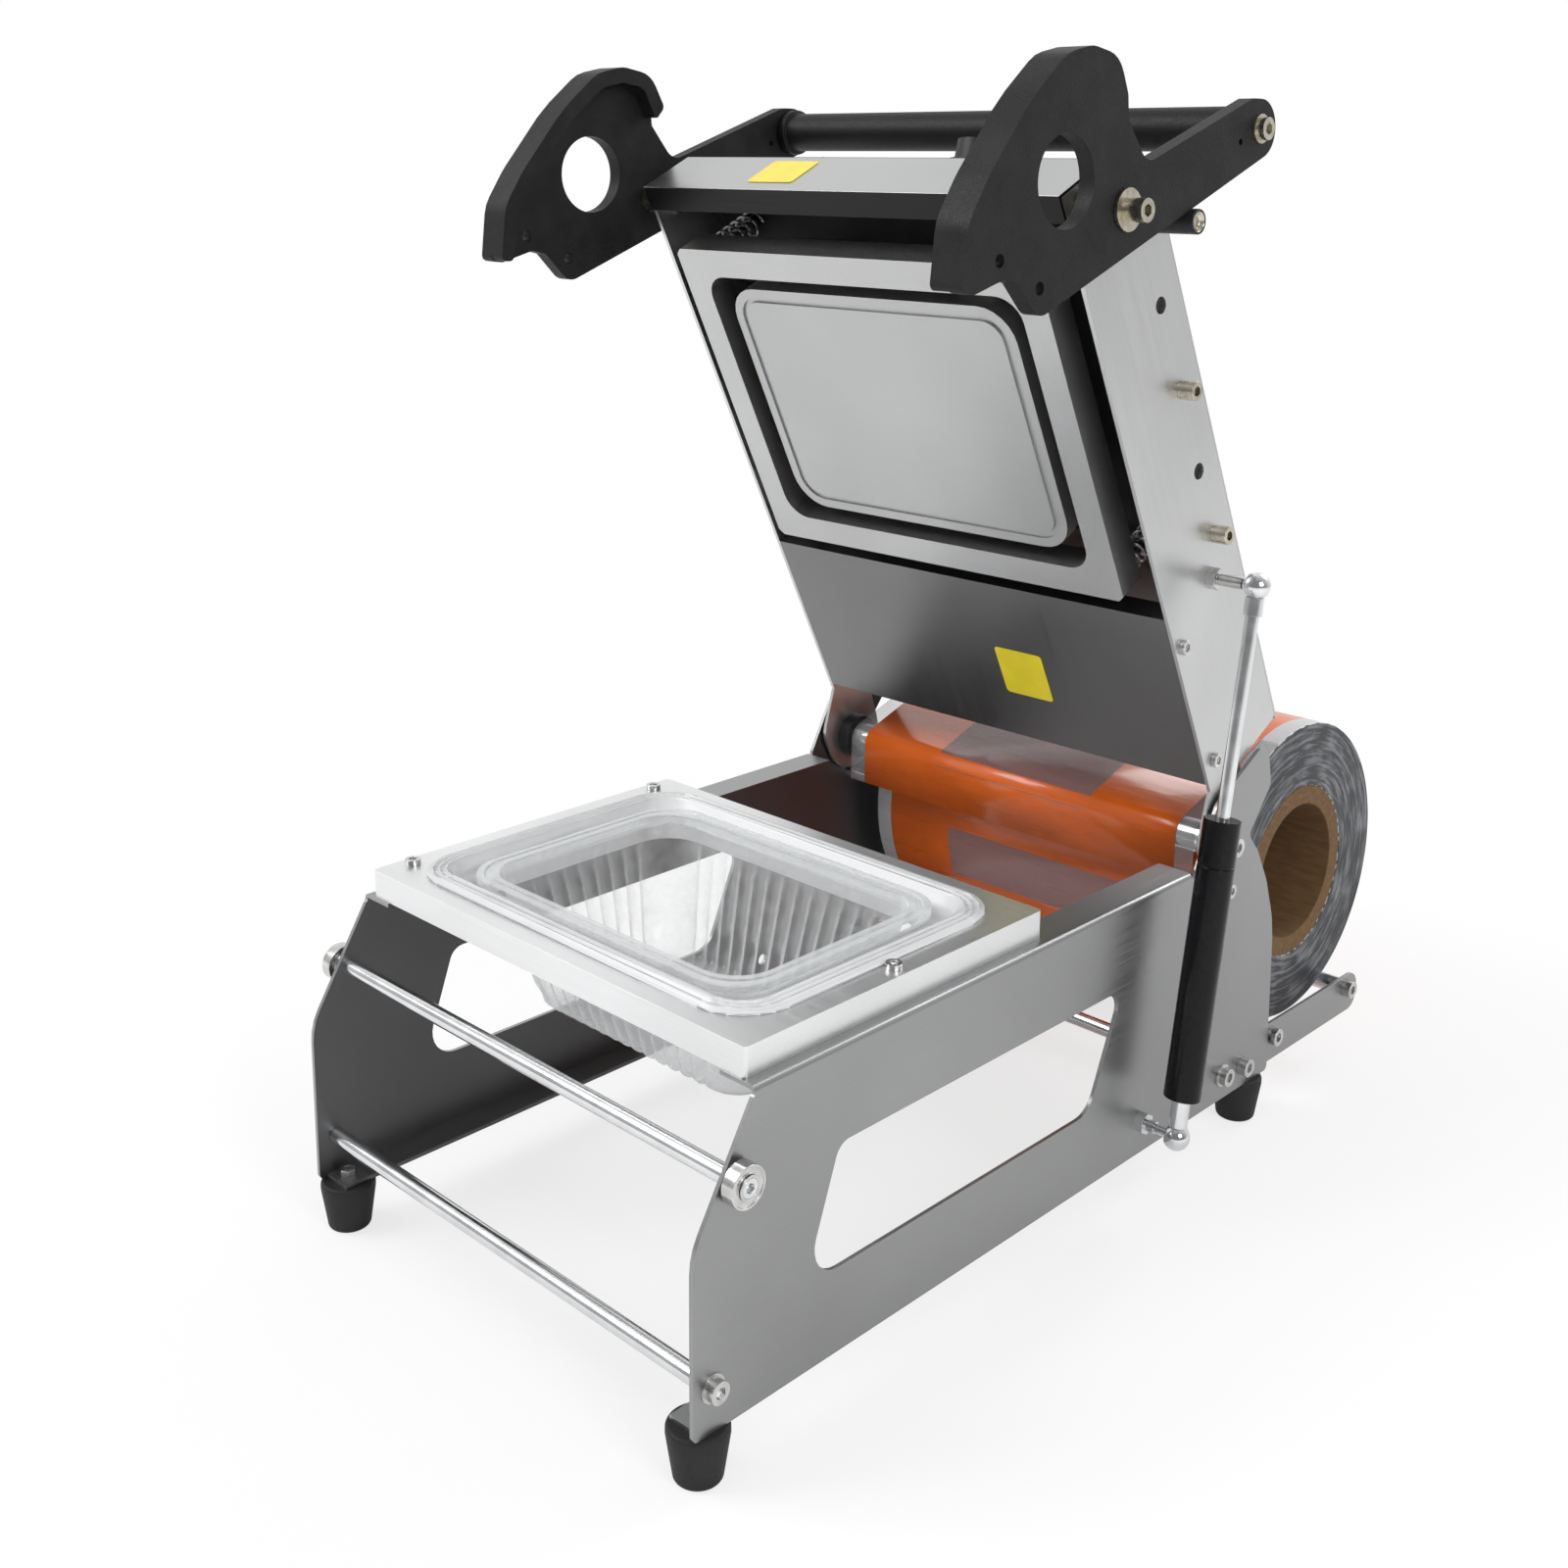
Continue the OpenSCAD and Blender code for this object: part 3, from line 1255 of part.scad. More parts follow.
// Heating head: plate, element, board and two guide posts
module heating_plate() {
    color([0.75, 0.75, 0.76]) on_lid() translate([0, -head_s, plate_n]) difference() {
        linear_extrude(plate_t) rounded_rect(plate_w, plate_l, plate_r);
        difference() {
            translate([0, 0, -over]) linear_extrude(plate_step + over) rounded_rect(
                plate_w - 2 * plate_rim_w, plate_l - 2 * plate_rim_w, plate_r - plate_rim_w);
            translate([0, 0, -over]) linear_extrude(plate_t) rounded_rect(
                plate_w - 3 * plate_rim_w, plate_l - 3 * plate_rim_w, plate_r - 3 * plate_rim_w / 2);
        }
        both_sides() translate([head_post_x, 0, plate_t / 2])
            cylinder(d = post_d + 2 * fit, h = plate_t);
        translate([0, plate_l / 2 - probe_l + probe_stick, plate_t / 2]) rotate([-90, 0, 0])
            cylinder(d = probe_d + 2 * fit, h = probe_l);
    }
}

module heater_element() {
    color([0.45, 0.42, 0.4]) on_lid() translate([0, -head_s, plate_n + plate_t]) linear_extrude(heater_t)
        difference() {
            rounded_rect(plate_w - 2 * heater_w, plate_l - 2 * heater_w, plate_r);
            rounded_rect(plate_w - 4 * heater_w, plate_l - 4 * heater_w, plate_r / 2);
            translate([0, -plate_l / 2]) square([heater_w, plate_l], center = true);
        }
}

module insulation_board() {
    color([0.9, 0.88, 0.8]) on_lid() difference() {
        translate([0, -head_s, plate_n + plate_t + heater_t]) linear_extrude(board_t)
            rounded_rect(plate_w - heater_w, plate_l - heater_w, plate_r);
        both_sides() translate([head_post_x, -head_s, 0])
            cylinder(d = post_d + 2 * fit, h = carrier_n);
    }
}

module head_posts() {
    foot = plate_n + plate_t / 2 + over;
    color([0.75, 0.75, 0.75]) on_lid() both_sides() translate([head_post_x, -head_s, 0]) {
        translate([0, 0, foot]) cylinder(d = post_d, h = carrier_n + cover_t + air - foot + post_head_h);
        translate([0, 0, carrier_n + cover_t + air]) cylinder(d = post_head_d, h = post_head_h);
    }
}

module temperature_probe() {
    color([0.85, 0.7, 0.4]) on_lid()
        translate([0, -head_s + plate_l / 2 - probe_l + probe_stick + over, plate_n + plate_t / 2])
            rotate([-90, 0, 0]) cylinder(d = probe_d, h = probe_l - probe_stick - over);
}

// Lever arms, seen from the side with the lid open, from the pivot
cam_chain = [for (c = cam_shares) [c[0] * cam_l, c[1] * cam_h, c[2] * cam_h]];
rim_chain = concat([[-cam_l, tip_z, tip_r]], cam_chain,
    [[hook_y + 2 * arm_top_step, hook_z - arm_top_step, tip_r]]);
function edge_point(t) = [t * cos(edge_slope) + edge_d * sin(edge_slope),
                          t * sin(edge_slope) - edge_d * cos(edge_slope)];
// Where the straight lower edge of the arm reaches a distance along the machine
function edge_at(y) = edge_point((y - edge_d * sin(edge_slope)) / cos(edge_slope));

module arm_outline() {
    end = edge_at(handle_y + arm_end_r * sin(edge_slope));
    polygon(outline(concat(
        [[-cam_l, tip_z, tip_r]], cam_chain,
        [[hook_y, hook_z, hook_r], [hook_y + arm_top_step, hook_z - 2 * hook_r, 0],
         [neck_y, neck_z, neck_fillet],
         [arm_top_share * handle_y, handle_z + arm_end_r, arm_end_r / 2],
         [handle_y, handle_z + arm_end_r, 0], [end[0], end[1], 0]],
        [[edge_at(lobe_y)[0], edge_at(lobe_y)[1], cam_lobe_r]],
        [for (c = lobe_shares) [c[0] * cam_l, c[1] * cam_h, c[2] * cam_l]],
        [[-cam_l + tip_w, tip_z - arm_top_step, tip_r]])));
    translate([handle_y, handle_z]) circle(r = arm_end_r);
}

module rim_outline() {
    polygon(outline(concat(rim_chain, [[hook_y - rim_w / 2, hook_z - rim_w, tip_r / 2]],
        reversed(inset(rim_chain, rim_w)), [[-cam_l + rim_w, tip_z, tip_r]])));
}

module lever_arm() {
    face_x = lever_x - lever_t;
    hole_t = lever_t + 2 * over;
    color([0.12, 0.12, 0.13]) on_pivot() difference() {
        union() {
            slab(face_x, lever_t) arm_outline();
            slab(face_x - rim_depth, rim_depth + lever_t / 2) rim_outline();
        }
        along_x(face_x - over, 0, 0) cylinder(d = shoulder_d + 2 * fit, h = hole_t);
        along_x(face_x - over, arm_window_y, arm_window_z) cylinder(d = arm_window_d, h = hole_t);
        for (c = arm_hole_places) along_x(face_x - over, c[0] * cam_l, c[1] * cam_h)
            cylinder(d = arm_hole_d, h = hole_t);
        along_x(face_x - over, handle_y, handle_z) cylinder(d = handle_m_d + 2 * fit, h = hole_t);
        along_x(face_x - over, handle_y - pin_hole_from[0], handle_z - pin_hole_from[1])
            cylinder(d = pin_hole_d, h = hole_t);
    }
}

module right_lever_arm() {
    lever_arm();
}

module left_lever_arm() {
    mirror([1, 0, 0]) lever_arm();
}

// Handle bar between the arms, with its grip and its bolts
module handle_bar() {
    half = lever_x - lever_t;
    color([0.3, 0.3, 0.3]) on_pivot() difference() {
        along_x(-half, handle_y, handle_z) cylinder(d = bar_d, h = 2 * half);
        both_sides() along_x(half - 2 * m5_grip, handle_y, handle_z)
            cylinder(d = handle_m_d + 2 * fit, h = 2 * m5_grip + over);
    }
}

module handle_grip() {
    half = lever_x - lever_t - air;
    color([0.1, 0.1, 0.1]) on_pivot() difference() {
        union() {
            along_x(-half, handle_y, handle_z) cylinder(d = grip_d, h = 2 * half);
            along_x(-half, handle_y, handle_z) cylinder(d = grip_ring_d, h = grip_ring_l);
        }
        along_x(-half - over, handle_y, handle_z) cylinder(d = bar_d + 2 * fit, h = 2 * half + 2 * over);
    }
}

module handle_bolts() {
    color([0.8, 0.8, 0.8]) on_pivot() both_sides() {
        along_x(lever_x, handle_y, handle_z)
            washer(handle_washer_d, washer_t, handle_m_d + 2 * fit);
        along_x(lever_x + washer_t, handle_y, handle_z)
            cap_screw(handle_head_d, handle_head_h, handle_m_d, m5_grip + lever_t);
    }
}

// Shoulder bolts that the lever turns on, with spacers, washers and nuts
module pivot_bolts() {
    face_x = lever_x - lever_t;
    color([0.75, 0.75, 0.76]) on_pivot() both_sides() {
        along_x(lid_inner_x, 0, 0) cylinder(d = shoulder_d, h = lever_x + air - lid_inner_x);
        along_x(lid_inner_x - pivot_nut_h - washer_t, 0, 0)
            cylinder(d = pivot_head_d, h = pivot_nut_h + washer_t + sheet_t);
        along_x(lid_inner_x - pivot_nut_h, 0, 0) nut(pivot_nut_d, pivot_nut_h, pivot_head_d + 2 * fit);
        along_x(plate_x, 0, 0) washer(pivot_washer_d, face_x - air - plate_x, shoulder_d + 2 * fit);
        along_x(lever_x + air, 0, 0) cylinder(d = pivot_washer_d, h = pivot_washer_t);
        along_x(lever_x + air + pivot_washer_t, 0, 0) difference() {
            cylinder(d = pivot_head_d, h = pivot_head_h);
            translate([0, 0, pivot_head_h / 2])
                cylinder(d = socket_share * pivot_head_d, h = pivot_head_h, $fn = 6);
        }
    }
}

// Strut pieces, drawn along Y from the lower ball
module on_strut() {
    machine() translate([strut_x, strut_y, strut_z]) rotate([strut_angle, 0, 0]) children();
}

module along_strut(start) {
    translate([0, start, 0]) rotate([-90, 0, 0]) children();
}

// Ball socket with a shank, open towards the machine
module ball_socket(shank_to) {
    shank_from = (socket_r + socket_wall_r) / 2;
    rotate([0, 90, 0]) rotate_extrude() polygon(concat(
        socket_arc(socket_r, -asin(socket_cut / socket_r)),
        reversed(socket_arc(socket_wall_r, -acos(socket_mouth_r / socket_wall_r))),
        [[socket_mouth_r, -socket_cut]]));
    along_strut(shank_from) cylinder(d = shank_d, h = shank_to - shank_from);
}

// Points on a circle about the ball, in an angle from one that lies below its middle up to its pole
function socket_arc(r, from) =
    let (n = ceil((90 - from) / (arc_step / 2)))
    [for (i = [0:n]) r * [cos(from + (90 - from) * i / n), sin(from + (90 - from) * i / n)]];

module strut_lower_socket() {
    color([0.82, 0.82, 0.83]) on_strut() ball_socket(tube_start);
}

module strut_cylinder() {
    top = tube_start + tube_l;
    color([0.07, 0.07, 0.07]) on_strut() difference() {
        along_strut(tube_start) cylinder(d = tube_d, h = tube_l);
        along_strut(tube_start + tube_base)
            cylinder(d = tube_d - 2 * tube_wall, h = tube_l - tube_base - tube_head);
        along_strut(top - tube_head - over) cylinder(d = piston_rod_d + 2 * fit, h = tube_head + 2 * over);
        along_strut(top - groove_from_top) washer(2 * tube_d, over, tube_d - 2 * groove_d);
    }
}

module strut_rod() {
    start = tube_start + piston_from_base;
    color([0.9, 0.9, 0.91]) on_strut() {
        along_strut(start) cylinder(d = piston_rod_d, h = strut_len - upper_shank_l - start);
        along_strut(start) cylinder(d = tube_d - 2 * tube_wall - 2 * hole_air, h = piston_h);
    }
}

module strut_upper_socket() {
    color([0.82, 0.82, 0.83]) on_strut() translate([0, strut_len, 0]) {
        mirror([0, 1, 0]) ball_socket(upper_shank_l);
        ball_stud(-socket_r + air / 2, 0);
    }
}

right_side_plate();
left_side_plate();
lower_front_rod();
upper_front_rod();
rear_tie_rod();
film_guide_rod();
base_screws();
rubber_feet();
foot_screws();
mould_plate();
seat_ring();
mould_screws();
tray();
hinge_shaft();
hinge_bushes();
cradle_plates();
cradle_rods();
cradle_screws();
strut_base_stud();
right_cam_bearing();
left_cam_bearing();
film_roller();
roller_bushes();
film_core();
film_winding();
film_web();
right_lid_plate();
left_lid_plate();
lid_cover();
front_cover();
under_cover();
control_panel();
temperature_knob();
rocker_switch();
rocker_button();
thermostat();
cord_gland();
lid_bolts();
cover_screws();
stop_pins();
strut_lid_stud();
carrier_plate();
press_frame();
frame_posts();
frame_springs();
heating_plate();
heater_element();
insulation_board();
head_posts();
temperature_probe();
right_lever_arm();
left_lever_arm();
handle_bar();
handle_grip();
handle_bolts();
pivot_bolts();
strut_cylinder();
strut_lower_socket();
strut_rod();
strut_upper_socket();
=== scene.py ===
"""Looks of a bench-top manual tray sealer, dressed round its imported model.

Lengths are in metres. X runs across the machine, Y from its front to its back, and Z up.
"""
import json
import logging
import math
from dataclasses import dataclass
from enum import Enum
from typing import Callable, Sequence, Union

import bmesh
import bpy
from mathutils import Matrix, Vector
from mathutils.geometry import area_tri


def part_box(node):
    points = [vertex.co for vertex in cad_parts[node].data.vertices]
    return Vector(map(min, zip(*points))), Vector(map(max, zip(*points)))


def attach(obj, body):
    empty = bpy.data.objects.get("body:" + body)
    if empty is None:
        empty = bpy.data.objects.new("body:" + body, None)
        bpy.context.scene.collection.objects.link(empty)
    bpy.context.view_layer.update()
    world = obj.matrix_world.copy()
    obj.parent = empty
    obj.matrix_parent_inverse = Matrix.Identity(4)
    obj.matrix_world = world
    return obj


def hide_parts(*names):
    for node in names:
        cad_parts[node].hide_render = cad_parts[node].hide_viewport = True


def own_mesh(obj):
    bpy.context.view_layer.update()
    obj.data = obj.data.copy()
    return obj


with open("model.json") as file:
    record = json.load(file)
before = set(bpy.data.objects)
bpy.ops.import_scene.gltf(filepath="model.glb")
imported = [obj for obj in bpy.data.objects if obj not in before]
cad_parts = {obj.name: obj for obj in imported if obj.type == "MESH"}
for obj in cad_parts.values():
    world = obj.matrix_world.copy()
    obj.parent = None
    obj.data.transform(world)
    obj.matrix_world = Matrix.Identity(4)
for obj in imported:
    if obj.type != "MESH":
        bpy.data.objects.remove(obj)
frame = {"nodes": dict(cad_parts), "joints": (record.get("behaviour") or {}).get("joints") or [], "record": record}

log = logging.getLogger("tray_sealer")

MM = 0.001
# Share of its area that a copy may lose or gain when its flat faces are made whole
AREA_SLACK = 0.001
# Distance under which the corners of a CAD mesh are one
DOUBLES = 0.002 * MM
# Turn between two faces up to which they are one flat face
FLAT_TURN = math.radians(0.5)
# Turn between two faces from which their edge is a corner
CORNER_TURN = math.radians(32)
# Share of a direction that the normal of a face has at least when the face looks that way
FACING = 0.9
# Nodes with flat faces round large holes, which stay in triangles so that their roundings come out even
IN_TRIANGLES = {"seat_ring", "press_frame", "right_lever_arm", "left_lever_arm", "right_side_plate"}
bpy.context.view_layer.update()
RECORD = frame["record"]
BODY_OF = {node: body for body, nodes in RECORD["behaviour"]["bodies"].items() for node in nodes}
JOINTS = {joint["name"]: joint for joint in frame["joints"]}

HINGE = Vector(JOINTS["lid_hinge"]["pos_m"])
LID_OPEN = math.radians(JOINTS["lid_hinge"]["range_deg"][1])
ROLL_AXIS = Vector(JOINTS["film_roll_spin"]["pos_m"])
# Turns a place drawn with the lid shut, from the hinge axis, into its place on the open lid
ON_LID = Matrix.Translation(HINGE) @ Matrix.Rotation(-LID_OPEN, 4, "X")

Colour = tuple[float, float, float]
Size = tuple[float, float, float]
Socket = bpy.types.NodeSocket
Shape = bmesh.types.BMesh
Value = Union[float, Sequence[float], Socket]


class Grain(Enum):
    """Which way a sheet was brushed: the length of its grain along X, Y and Z, and its turn about X."""

    ACROSS = ((0.09, 0.0007, 0.0007), 0.0)
    LENGTHWAYS = ((0.0007, 0.09, 0.0007), 0.0)
    ALONG_LID = ((0.0007, 0.09, 0.0007), -LID_OPEN)
    ROUND = ((0.0012, 0.0012, 0.0012), 0.0)


class NodeGraph:
    """The node tree of a material or a world, with short calls for the nodes that it uses."""

    def __init__(self, owner: Union[bpy.types.Material, bpy.types.World]) -> None:
        """Empties the owner's node tree.

        Args:
            owner: The material or the world.
        """
        owner.use_nodes = True
        self.tree = owner.node_tree
        self.tree.nodes.clear()
        self.coordinates = self.node("ShaderNodeTexCoord")

    def node(self, kind: str, **settings: object) -> bpy.types.Node:
        """Adds a node.

        Args:
            kind: Blender's name of the node type.
            **settings: Properties of the node.

        Returns:
            The new node.
        """
        made = self.tree.nodes.new(kind)
        for key, value in settings.items():
            setattr(made, key, value)
        return made

    def feed(self, target: Socket, value: Value) -> None:
        """Links a socket to an input, or writes a constant on it.

        Args:
            target: The input.
            value: An output of another node, a number or a colour.
        """
        if isinstance(value, Socket):
            self.tree.links.new(value, target)
        elif target.type == "RGBA" and len(value) == 3:
            target.default_value = (*value, 1.0)
        else:
            target.default_value = value

    def place(self, size: Size = (1.0, 1.0, 1.0), turn: float = 0.0,
              origin: Size = (0.0, 0.0, 0.0)) -> Socket:
        """Gives the object's coordinates in cells of a size.

        Args:
            size: The cell's length along each axis.
            turn: Angle that the cells are turned about X.
            origin: Where the cells start.

        Returns:
            The coordinates.
        """
        mapping = self.node("ShaderNodeMapping", vector_type="TEXTURE")
        self.tree.links.new(self.coordinates.outputs["Object"], mapping.inputs["Vector"])
        mapping.inputs["Location"].default_value = origin
        mapping.inputs["Rotation"].default_value = (turn, 0.0, 0.0)
        mapping.inputs["Scale"].default_value = size
        return mapping.outputs["Vector"]

    def noise(self, where: Socket, detail: float = 3.0) -> Socket:
        """Adds noise with one bump a cell, in steps down by detail, and returns its strength.

        Args:
            where: The coordinates, in cells.
            detail: Steps down in size.

        Returns:
            The noise's strength.
        """
        made = self.node("ShaderNodeTexNoise")
        made.inputs["Scale"].default_value = 1.0
        made.inputs["Detail"].default_value = detail
        self.feed(made.inputs["Vector"], where)
        return made.outputs[0]

    def calc(self, operation: str, first: Value, second: Value = 0.0,
             third: Value = 0.0) -> Socket:
        """Adds a Math node with up to three inputs and returns its result.

        Args:
            operation: Blender's name of the operation.
            first: The first input.
            second: The second input.
            third: The third input.

        Returns:
            The result.
        """
        made = self.node("ShaderNodeMath", operation=operation)
        for index, value in enumerate((first, second, third)):
            self.feed(made.inputs[index], value)
        return made.outputs[0]

    def spread(self, value: Socket, low: float, high: float,
               start: float = 0.35, end: float = 0.65) -> Socket:
        """Stretches a value from start and end to low and high, without passing them.

        Args:
            value: The value.
            low: The result at start.
            high: The result at end.
            start: The value that gives low.
            end: The value that gives high.

        Returns:
            The result.
        """
        made = self.node("ShaderNodeMapRange")
        for name, number in (("From Min", start), ("From Max", end), ("To Min", low), ("To Max", high)):
            made.inputs[name].default_value = number
        self.feed(made.inputs["Value"], value)
        return made.outputs["Result"]

    def mix(self, share: Value, first: Value, second: Value) -> Socket:
        """Mixes two colours, share of the second, and returns the mix.

        Args:
            share: Share of the second colour.
            first: The first colour.
            second: The second colour.

        Returns:
            The mix.
        """
        made = self.node("ShaderNodeMix", data_type="RGBA")
        for index, value in ((0, share), (6, first), (7, second)):
            self.feed(made.inputs[index], value)
        return made.outputs[2]

    def blend(self, share: Value, first: Value, second: Value) -> Socket:
        """Mixes two numbers, share of the second, and returns the mix.

        Args:
            share: Share of the second number.
            first: The first number.
            second: The second number.

        Returns:
            The mix.
        """
        made = self.node("ShaderNodeMix")
        for index, value in ((0, share), (2, first), (3, second)):
            self.feed(made.inputs[index], value)
        return made.outputs[0]

    def axes(self, origin: Size = (0.0, 0.0, 0.0)) -> list[Socket]:
        """Gives the object's X, Y and Z, each from an origin.

        Args:
            origin: Where the three start.

        Returns:
            X, Y and Z.
        """
        split = self.node("ShaderNodeSeparateXYZ")
        self.feed(split.inputs[0], self.place(origin=origin))
        return list(split.outputs)

    def polar(self, origin: Size) -> tuple[Socket, Socket]:
        """Gives the distance from an axis along X through an origin, and the angle round it.

        Args:
            origin: A point on the axis.

        Returns:
            The distance and the angle.
        """
        _, back, up = self.axes(origin)
        squares = self.calc("ADD", self.calc("MULTIPLY", back, back), self.calc("MULTIPLY", up, up))
        return self.calc("SQRT", squares), self.calc("ARCTAN2", up, back)

    def seen(self) -> Socket:
        """Gives 1 for a ray from the camera, also behind a clear piece, and 0 for any other."""
        path = self.node("ShaderNodeLightPath")
        return self.calc("MAXIMUM", path.outputs["Is Camera Ray"], path.outputs["Is Transmission Ray"])


class FinishGraph(NodeGraph):
    """The node graph of one material, round one shader."""

    def __init__(self, name: str) -> None:
        """Starts a material with one shader.

        Args:
            name: The material's name.
        """
        self.material = bpy.data.materials.new(name)
        super().__init__(self.material)
        self.shader = self.node("ShaderNodeBsdfPrincipled")
        self.feed(self.node("ShaderNodeOutputMaterial").inputs["Surface"], self.shader.outputs["BSDF"])

    def set(self, **values: Value) -> None:
        """Feeds the shader's inputs, named in lower case with underscores."""
        for name, value in values.items():
            self.feed(self.shader.inputs[name.replace("_", " ").title().replace("Ior", "IOR")], value)

    def relief(self, height: Socket, depth: float) -> None:
        """Gives the surface a fine relief of that depth.

        Args:
            height: Where the surface is high.
            depth: How deep the relief is.
        """
        made = self.node("ShaderNodeBump")
        made.inputs["Distance"].default_value = depth
        self.feed(made.inputs["Height"], height)
        self.feed(self.shader.inputs["Normal"], made.outputs["Normal"])

    def tint(self, tone: Socket, colour: Colour, dark: float, light: float) -> None:
        """Colours the surface from a dark to a light share of one colour, as the tone says."""
        self.set(base_color=self.mix(tone, shade(colour, dark), shade(colour, light)))

    def roughen(self, value: Socket, low: float, high: float, level: float) -> None:
        """Sets the roughness round a level, from low to high as the value says."""
        self.set(roughness=self.calc("ADD", self.spread(value, low, high), level))


def shade(colour: Colour, share: float) -> Colour:
    """Gives a colour made lighter or darker by a share."""
    return tuple(min(1.0, part * share) for part in colour)


@dataclass(frozen=True)
class Finish:
    """How a surface is finished. Its material is made when a piece first asks for it."""

    name: str
    colour: Colour
    roughness: float = 0.4

    def material(self) -> bpy.types.Material:
        """Gives the finish's material.

        Returns:
            The material.
        """
        found = bpy.data.materials.get(self.name)
        if found is None:
            graph = FinishGraph(self.name)
            graph.set(base_color=self.colour, roughness=self.roughness)
            self.dress(graph)
            found = graph.material
        return found

    def dress(self, graph: FinishGraph) -> None:
        """Adds what is special to the finish."""
        raise NotImplementedError


@dataclass(frozen=True)
class BrushedSheet(Finish):
    """Stainless sheet with a fine brushed grain and faint clouds."""

    grain: Grain = Grain.LENGTHWAYS
    cloud_size: float = 0.11
    depth: float = 0.012 * MM

    def dress(self, graph: FinishGraph) -> None:
        """Adds the grain, the clouds and the metal.

        Args:
            graph: The node graph of the finish's material.
        """
        size, turn = self.grain.value
        lines = graph.noise(graph.place(size, turn), 4.0)
        clouds = graph.noise(graph.place((self.cloud_size,) * 3), 2.0)
        tone = graph.calc("ADD", graph.spread(lines, -0.12, 0.12), graph.spread(clouds, 0.3, 0.7))
        graph.tint(tone, self.colour, 0.86, 1.1)
        graph.roughen(lines, -0.05, 0.07, self.roughness)
        graph.set(metallic=1.0)
        graph.relief(lines, self.depth)


@dataclass(frozen=True)
class BrightMetal(Finish):
    """Turned, polished or plated metal with faint stains."""

    stain_size: float = 0.012
    stain: float = 0.06

    def dress(self, graph: FinishGraph) -> None:
        """Adds the stains and the metal.

        Args:
            graph: The node graph of the finish's material.
        """
        stains = graph.noise(graph.place((self.stain_size,) * 3), 5.0)
        fine = graph.noise(graph.place((self.stain_size / 20,) * 3), 2.0)
        graph.tint(graph.spread(stains, 0.0, 1.0), self.colour, 1 - self.stain, 1 + self.stain)
        graph.roughen(stains, -0.03, 0.05, self.roughness)
        graph.set(metallic=1.0)
        graph.relief(fine, 0.004 * MM)


@dataclass(frozen=True)
class Grained(Finish):
    """Powder coat, moulded plastic or rubber: a grain with faint patches."""

    grain_size: float = 0.9 * MM
    depth: float = 0.05 * MM
    mottle: float = 0.12
    coat: float = 0.0
    gloss: float = 0.5

    def dress(self, graph: FinishGraph) -> None:
        """Adds the grain, the mottling and a coat.

        Args:
            graph: The node graph of the finish's material.
        """
        grain = graph.noise(graph.place((self.grain_size,) * 3), 4.0)
        patches = graph.noise(graph.place((self.grain_size * 22,) * 3), 3.0)
        graph.tint(graph.spread(patches, 0.0, 1.0), self.colour, 1 - self.mottle, 1 + self.mottle)
        graph.set(coat_weight=self.coat, specular_ior_level=self.gloss)
        graph.roughen(grain, -0.06, 0.08, self.roughness)
        graph.relief(grain, self.depth)


@dataclass(frozen=True)
class ClearSheet(Finish):
    """Thin clear plastic that whitens where it is seen edge on."""

    face: float = 0.2
    edge: float = 0.85

    def dress(self, graph: FinishGraph) -> None:
        """Adds the clearness and a faint haze.

        Args:
            graph: The node graph of the finish's material.
        """
        slant = graph.node("ShaderNodeLayerWeight")
        slant.inputs["Blend"].default_value = 0.35
        haze = graph.noise(graph.place((0.006,) * 3), 3.0)
        through = graph.spread(slant.outputs["Facing"], self.face, self.edge, 0.0, 0.9)
        graph.set(alpha=graph.calc("ADD", through, graph.spread(haze, 0.0, 0.05)))
        graph.roughen(haze, -0.02, 0.05, self.roughness)
        graph.relief(haze, 0.02 * MM)


@dataclass(frozen=True)
class MilkyPlastic(Finish):
    """Translucent white plastic, a little uneven."""

    through: float = 0.25

    def dress(self, graph: FinishGraph) -> None:
        """Adds the milkiness.

        Args:
            graph: The node graph of the finish's material.
        """
        haze = graph.noise(graph.place((0.02,) * 3), 3.0)
        graph.tint(graph.spread(haze, 0.0, 1.0), self.colour, 0.95, 1.0)
        graph.roughen(haze, -0.04, 0.06, self.roughness)
        graph.set(alpha=1 - self.through, coat_weight=0.3, coat_roughness=0.2)
        graph.relief(haze, 0.03 * MM)


